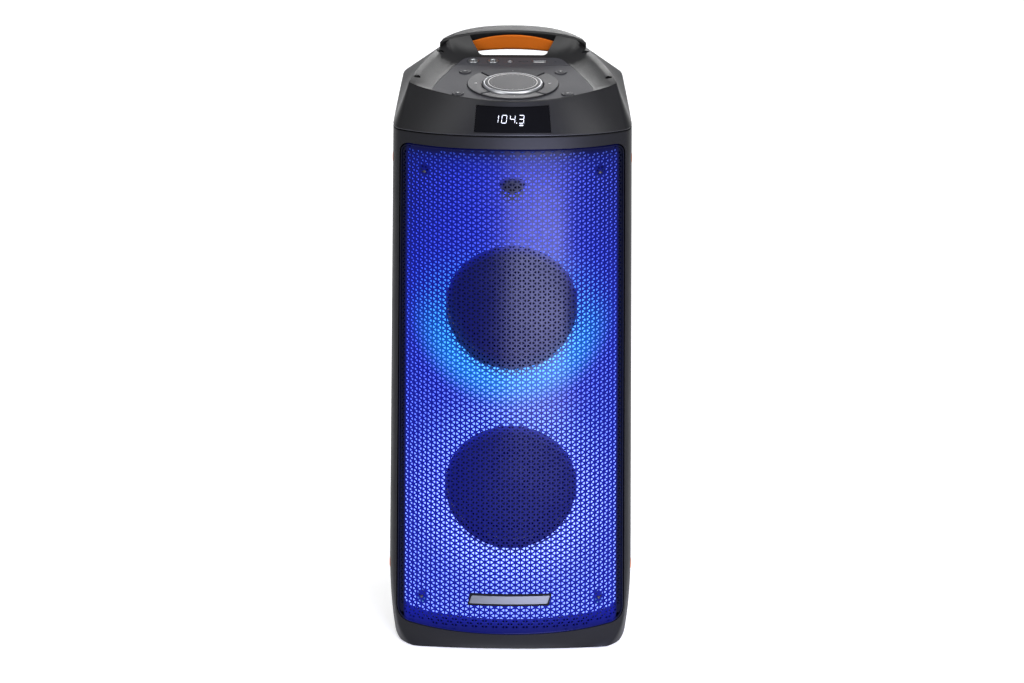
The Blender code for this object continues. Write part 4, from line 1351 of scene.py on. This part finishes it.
def triangle(x, size, way):
    return [(x - way * size, -size), (x + way * size, 0), (x - way * size, size)]


def bar(x, half_x, half_y):
    return [(x - half_x, -half_y), (x + half_x, -half_y), (x + half_x, half_y), (x - half_x, half_y)]


KEY_MARKS = {
    "left": (triangle(-0.0004, 0.0012, -1), triangle(0.0018, 0.0012, -1), bar(-0.0022, 0.0002, 0.0012)),
    "right": (triangle(-0.0018, 0.0012, 1), triangle(0.0004, 0.0012, 1), bar(0.0022, 0.0002, 0.0012)),
    "rear": (bar(0, 0.0014, 0.00022), bar(0, 0.00022, 0.0014)),
    "front": (triangle(-0.0012, 0.0011, 1), bar(0.0010, 0.00025, 0.0011), bar(0.0020, 0.00025, 0.0011)),
}


def build_knob():
    """The volume knob: a bright bevelled ring round a dark disc with a white line."""
    profile = [
        (0, 0.6354), (0.003, 0.6354), (0.003, 0.638), (0.0330, 0.638), (0.0334, 0.6386), (0.0336, 0.6392),
    ]
    quarter = [math.pi / 2 * i / 8 for i in range(9)]
    profile += [(0.0314 + 0.0022 * math.cos(a), 0.6422 + 0.0035 * math.sin(a)) for a in quarter]
    profile += [(0.0308, 0.6456), (0.0306, 0.6450), (0, 0.6450)]
    centre = (0, KNOB_AXIS.y, 0)
    place(
        turned("knob_ring", profile, KNOB_METAL, centre, steps=128), "volume_knob", body="volume_knob",
        angle=50,
    )
    disc = [
        (0, 0.6450), (0.0305, 0.6450), (0.0305, 0.6455), (0.0301, 0.6458), (0.0290, 0.6459),
        (0.0272, 0.64595), (0.012, 0.6458), (0, 0.6458),
    ]
    place(turned("knob_disc", disc, KEYS, centre, steps=128), body="volume_knob", angle=50)
    line = ((0.0264, 0.6456), (0.0264, 0.64600), (0.0271, 0.64605), (0.0271, 0.6456))
    place(turned("knob_line", line, WHITE_INK, centre, steps=128), body="volume_knob", angle=50)
    dots = 24
    for number in range(dots):
        angle = 2 * math.pi * number / dots
        where = (0.0236 * math.cos(angle), KNOB_AXIS.y + 0.0236 * math.sin(angle), 0)
        profile = ((0, 0.6456), (0.0004, 0.6456), (0.0004, 0.6459), (0, 0.6460))
        place(turned(f"knob_dot_{number}", profile, KNOB_METAL, where, steps=10), body="volume_knob")


BUTTON_MARKS = {
    "button_rear_left": (bar(0, 0.0016, 0.00025),),
    "button_rear_right": (bar(0, 0.0016, 0.00025), bar(0, 0.00025, 0.0016)),
    "button_front_left": (triangle(0, 0.0013, 1),),
    "button_front_right": (bar(-0.0007, 0.0003, 0.0013), bar(0.0007, 0.0003, 0.0013)),
}


def build_buttons():
    """Four domed buttons round the ring of keys, each with a small mark."""
    for name, p in BUTTONS.items():
        profile = [(0, 0.638), (0.0067, 0.638), (0.0067, 0.6430), (0.0065, 0.6437), (0.0060, 0.6441)]
        profile += [(0.0052, 0.6442), (0.0047, 0.6440), (0.0044, 0.6440)]
        profile += arc(0, 0.6440, 0.0040, 0.0006, 0, 90, 6)[:-1] + [(0, 0.6446)]
        place(turned(f"push_{name}", profile, KEYS, (p.x, p.y, 0), steps=48), name, body=name, angle=45)
        for index, shape in enumerate(BUTTON_MARKS[name]):
            rings = [[(p.x + a * 0.8, p.y + b * 0.8, z) for a, b in shape] for z in (0.6440, 0.64468)]
            place(loft(f"{name}_mark_{index}", rings, WHITE_INK), body=name)


def build_sockets():
    """Microphone jacks, the small audio jack and the USB port on the strip."""
    for name, p in JACKS.items():
        profile = [
            (0.0062, 0.6375), (0.0062, 0.6430), (0.0061, 0.6438), (0.0056, 0.6443), (0.0050, 0.6444),
            (0.0042, 0.6442),
        ]
        profile += [(0.0036, 0.6436), (0.0033, 0.6428), (0.0033, 0.6375)]
        place(turned(f"{name}_ferrule", profile, CHROME, (p.x, p.y, 0), steps=48), name, angle=45)
        # The jack's floor is a near-black disc: painted shade for the deep hole.
        well = ((0, 0.6376), (0.0032, 0.6376), (0.0032, 0.6384), (0, 0.6384))
        place(turned(f"{name}_well", well, HOLE_SHADE, (p.x, p.y, 0), steps=32))
        depth = p.y + FRONT
        low, high = (p.x - 0.0006, depth + 0.0012, 0.6384), (p.x + 0.0006, depth + 0.0030, 0.6415)
        spring = block(f"{name}_contact", low, high, COPPER)
        place(soften(spring, 0.0002, 2))
    p = middle("audio_jack")
    profile = [
        (0.0031, 0.6375), (0.0031, 0.6430), (0.0029, 0.6434), (0.0022, 0.6434), (0.0018, 0.6430),
        (0.0018, 0.6375),
    ]
    place(turned("audio_ferrule", profile, STEEL, (p.x, p.y, 0), steps=32), "audio_jack", angle=45)
    # The audio jack's floor is a near-black disc: painted shade for the deep hole.
    well = ((0, 0.6376), (0.0018, 0.6376), (0.0018, 0.6382), (0, 0.6382))
    place(turned("audio_well", well, HOLE_SHADE, (p.x, p.y, 0), steps=24))
    p = middle("usb_port")
    depth = p.y + FRONT
    low, high = (p.x - 0.0074, depth - 0.0036, 0.6375), (p.x + 0.0074, depth + 0.0036, 0.6432)
    shell = block("usb_shell", low, high, STEEL)
    low, high = (p.x - 0.0066, depth - 0.0028, 0.6386), (p.x + 0.0066, depth + 0.0028, 0.65)
    cut(shell, block("usb_gap", low, high, STEEL))
    place(soften(shell, 0.0003, 2), "usb_port", angle=35)
    low, high = (p.x - 0.0056, depth - 0.0004, 0.6386), (p.x + 0.0056, depth + 0.0014, 0.6424)
    tongue = block("usb_tongue", low, high, WHITE_INK)
    place(soften(tongue, 0.0002, 2))


# ---------------------------------------------------------------- rear, feet and inside


def screw(name, x, depth, z, look=STEEL):
    """A pan-head screw with a cross recess, facing the rear."""
    profile = (
        (0, 0.0014), (0.0012, 0.0013), (0.0024, 0.0009), (0.0030, 0.0002), (0.0030, -0.0010), (0, -0.0010),
    )
    head = turned(name, profile, look, (x, y_at(depth), z), True, 28)
    low, high = depth + 0.0006, depth + 0.003
    across = block("across", (x - 0.0016, low, z - 0.0003), (x + 0.0016, high, z + 0.0003), look)
    along = block("along", (x - 0.0003, low, z - 0.0016), (x + 0.0003, high, z + 0.0016), look)
    place(cut(head, across, along), angle=30)


def build_rear():
    """Rear panel with its ribs, screws, flared port, inlet and rocker."""
    panel = prism_back(
        "rear_plate", rounded(0.085, 0.215, 0.008, 8, 0, 0.285), BODY_DEPTH - 0.003, BODY_DEPTH, BLACK,
    )
    tools = [rod("port", (0, y_at(0.255), 0.440), 0.0273, 0.03, False, steps=96)]
    tools.append(prism_back("inlet_gap", rounded(0.0143, 0.0103, 0.0015, 4, 0.030, 0.105), 0.24, 0.27))
    tools.append(prism_back("switch_gap", rounded(0.0073, 0.0110, 0.0010, 4, -0.030, 0.105), 0.24, 0.27))
    tools.append(prism_back("label_bed", rounded(0.050, 0.030, 0.003, 6, 0, 0.235), 0.2556, 0.27))
    tools.append(prism_back("power_bed", rounded(0.060, 0.020, 0.004, 6, 0, 0.105), 0.2554, 0.27))
    cut(panel, *tools)
    place(soften(panel, 0.0004, 2), "rear_panel", angle=35)
    for index in range(9):
        z = 0.300 + 0.009 * index
        rib = prism_back(f"rear_rib_{index}", rounded(0.060, 0.0014, 0.0013, 5, 0, z), 0.2555, 0.2569, BLACK)
        place(soften(rib, 0.0004, 2))
    number = 0
    for x in (-0.079, 0.079):
        for z in (0.078, 0.181, 0.285, 0.389, 0.492):
            number += 1
            screw(f"rear_screw_{number}", x, BODY_DEPTH, z)
    flare = [
        (0.027, 0.140), (0.027, 0.2563), (0.0340, 0.2563), (0.0340, 0.2570), (0.0332, 0.2577),
        (0.0315, 0.2580), (0.0290, 0.2580),
    ]
    flare += bend((0.0290, 0.2580), (0.0243, 0.2570), (0.0240, 0.2470), 8) + [(0.0240, 0.140)]
    place(turned("port_flare", flare, BLACK, (0, y_at(0), 0.440), True, 96), "port_tube", angle=45)
    for index in range(4):
        angle = math.radians(45 + 90 * index)
        screw(f"port_screw_{index}", 0.0305 * math.cos(angle), 0.2568, 0.440 + 0.0305 * math.sin(angle))
    inlet = prism_back("inlet_body", rounded(0.0140, 0.0100, 0.0015, 4, 0.030, 0.105), 0.238, 0.2568, BLACK)
    outline = [
        (0.020, 0.1005), (0.040, 0.1005), (0.040, 0.1075), (0.0372, 0.1105), (0.0228, 0.1105), (0.020, 0.1075),
    ]
    cut(inlet, prism_back("socket", outline, 0.242, 0.27))
    place(soften(inlet, 0.0004, 2), "power_inlet", angle=35)
    for index, (x, z) in enumerate(((0.0245, 0.1045), (0.0355, 0.1045), (0.030, 0.1075))):
        low, high = (x - 0.0010, 0.2405, z - 0.0019), (x + 0.0010, 0.2530, z + 0.0019)
        place(soften(block(f"inlet_pin_{index}", low, high, CHROME), 0.0004, 2))
    tilt = math.radians(7)
    rocker = [(-0.004, -0.0092), (0.0058, -0.0096)]
    rocker += bend(rocker[-1], (0.0036, 0.0), (0.0058, 0.0096), 10) + [(-0.004, 0.0092)]
    rings = []
    for x in (-0.007, 0.007):
        points = []
        for y, z in rocker:
            cosine, sine = math.cos(-tilt), math.sin(-tilt)
            turned_y, turned_z = y * cosine - z * sine, y * sine + z * cosine
            points.append((-0.030 + x, y_at(0.2505) + turned_y, 0.105 + turned_z))
        rings.append(points)
    place(soften(loft("rocker_key", rings, BLACK), 0.0004, 2), "power_switch", body="power_switch", angle=35)


def build_feet():
    """Four rubber feet and four side bumpers."""
    for number in range(1, 5):
        p = middle(f"foot_{number}")
        profile = [
            (0, 0.0015), (0.0120, 0.0015), (0.0119, 0.0010), (0.0117, 0.0005), (0.0112, 0.0001), (0.0106, 0.0),
        ]
        profile += [(0.0085, 0.0), (0.0080, 0.0005), (0.0030, 0.0005), (0.0024, 0.0), (0, 0.0)]
        place(
            turned(f"foot_pad_{number}", profile, RUBBER, (p.x, p.y, 0), steps=40), f"foot_{number}", angle=45,
        )
    for level in ("lower", "upper"):
        for side, sign in (("left", -1), ("right", 1)):
            node = f"bumper_{side}_{level}"
            p = middle(node)
            start = min(abs(c.x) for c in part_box(node))
            heights = [(0.0, 0.0075), (0.0010, 0.0075), (0.0018, 0.0070), (0.0024, 0.0060)]
            heights += [(0.0028, 0.0040), (0.0029, 0.0020), (0.0029, 0.0001)]
            rings = []
            for out, radius in heights:
                x = sign * (start + out)
                rings.append([(x, p.y + a, p.z + b) for a, b in circle(radius, 36)])
            place(loft(f"bumper_pad_{side}_{level}", rings, ORANGE), node, angle=50)


# ---------------------------------------------------------------- stage


def area_light(name, where, target, size, power, colour=(1, 1, 1)):
    """A soft rectangular light at a place, turned to a target."""
    data = bpy.data.lights.new(name, "AREA")
    data.shape = "RECTANGLE"
    data.size, data.size_y = size
    data.energy = power
    data.color = colour
    made = bpy.data.objects.new(name, data)
    made.location = where
    made.rotation_euler = (Vector(target) - Vector(where)).to_track_quat("-Z", "Y").to_euler()
    made.visible_camera = False
    bpy.context.scene.collection.objects.link(made)
    return made


FLOOR_REACH = 14.0


def build_stage():
    """A white floor, a pale world and the lights."""
    floor_mesh = bpy.data.meshes.new("floor")
    reach = FLOOR_REACH
    corners = [(-reach, -reach, 0), (reach, -reach, 0), (reach, reach, 0), (-reach, reach, 0)]
    floor_mesh.from_pydata(corners, [], [(0, 1, 2, 3)])
    floor = bpy.data.objects.new("floor", floor_mesh)
    bpy.context.scene.collection.objects.link(floor)
    look = Look("floor_paper", (0.80, 0.80, 0.80), 0.9, 0.0, 0.1)
    tone = look.join(look.noise(3.0), (0.79, 0.79, 0.79), (0.81, 0.81, 0.81))
    look.link("Base Color", tone)
    look.set("Emission Color", (1, 1, 1, 1))
    look.set("Emission Strength", 0.52)
    floor_mesh.materials.append(look.material)
    world = bpy.data.worlds.new("studio")
    world.use_nodes = True
    background = world.node_tree.nodes["Background"]
    background.inputs[0].default_value = (0.95, 0.96, 1.0, 1)
    background.inputs[1].default_value = 0.35
    bpy.context.scene.world = world
    area_light("key_light", (1.3, -1.2, 2.2), (0, 0, 0.5), (1.2, 1.2), 25)
    area_light("fill_light", (-1.8, -1.6, 1.6), (0, 0, 0.4), (1.4, 1.4), 17)
    area_light("top_light", (0.0, -0.1, 2.6), (0, 0, 0.6), (1.6, 1.0), 25)
    area_light(
        "sheen_light", (0.185, -0.82, 0.18), (0.02, -0.12, 0.45), (0.41, 0.22), 19.5, (0.66, 0.68, 1.0),
    )
    area_light("back_light", (0.20, 2.6, 1.32), (0, 0, 0.64), (1.0, 0.35), 12)


def build_camera():
    """The camera: 20 degrees above level and far away, with a long lens."""
    elevation, tilt = math.radians(20), math.radians(0.3)
    distance = 30.0
    forward = Vector((0, math.cos(elevation), -math.sin(elevation)))
    upward = Vector((0, math.sin(elevation), math.cos(elevation)))
    target = Vector((0.0006, 0, 0.325)) - upward * 0.0030
    data = bpy.data.cameras.new("camera")
    data.lens = 956.5
    data.sensor_width = 36.0
    data.clip_end = 90.0
    made = bpy.data.objects.new("camera", data)
    made.location = target - forward * distance
    turn = forward.to_track_quat("-Z", "Y")
    made.rotation_mode = "QUATERNION"
    made.rotation_quaternion = turn @ Quaternion((0, 0, 1), tilt)
    bpy.context.scene.collection.objects.link(made)
    bpy.context.scene.camera = made


dress_cad_nodes()
build_camera()
build_stage()
build_cabinet()
build_housing()
build_display()
build_handle()
build_grille()
build_badge()
build_light_panel()
for woofer_side, woofer_z in WOOFERS.items():
    build_woofer(woofer_side, woofer_z)
build_tweeter()
build_deck()
build_keys()
build_knob()
build_buttons()
build_sockets()
build_rear()
build_feet()

bpy.context.scene.view_settings.view_transform = "Standard"
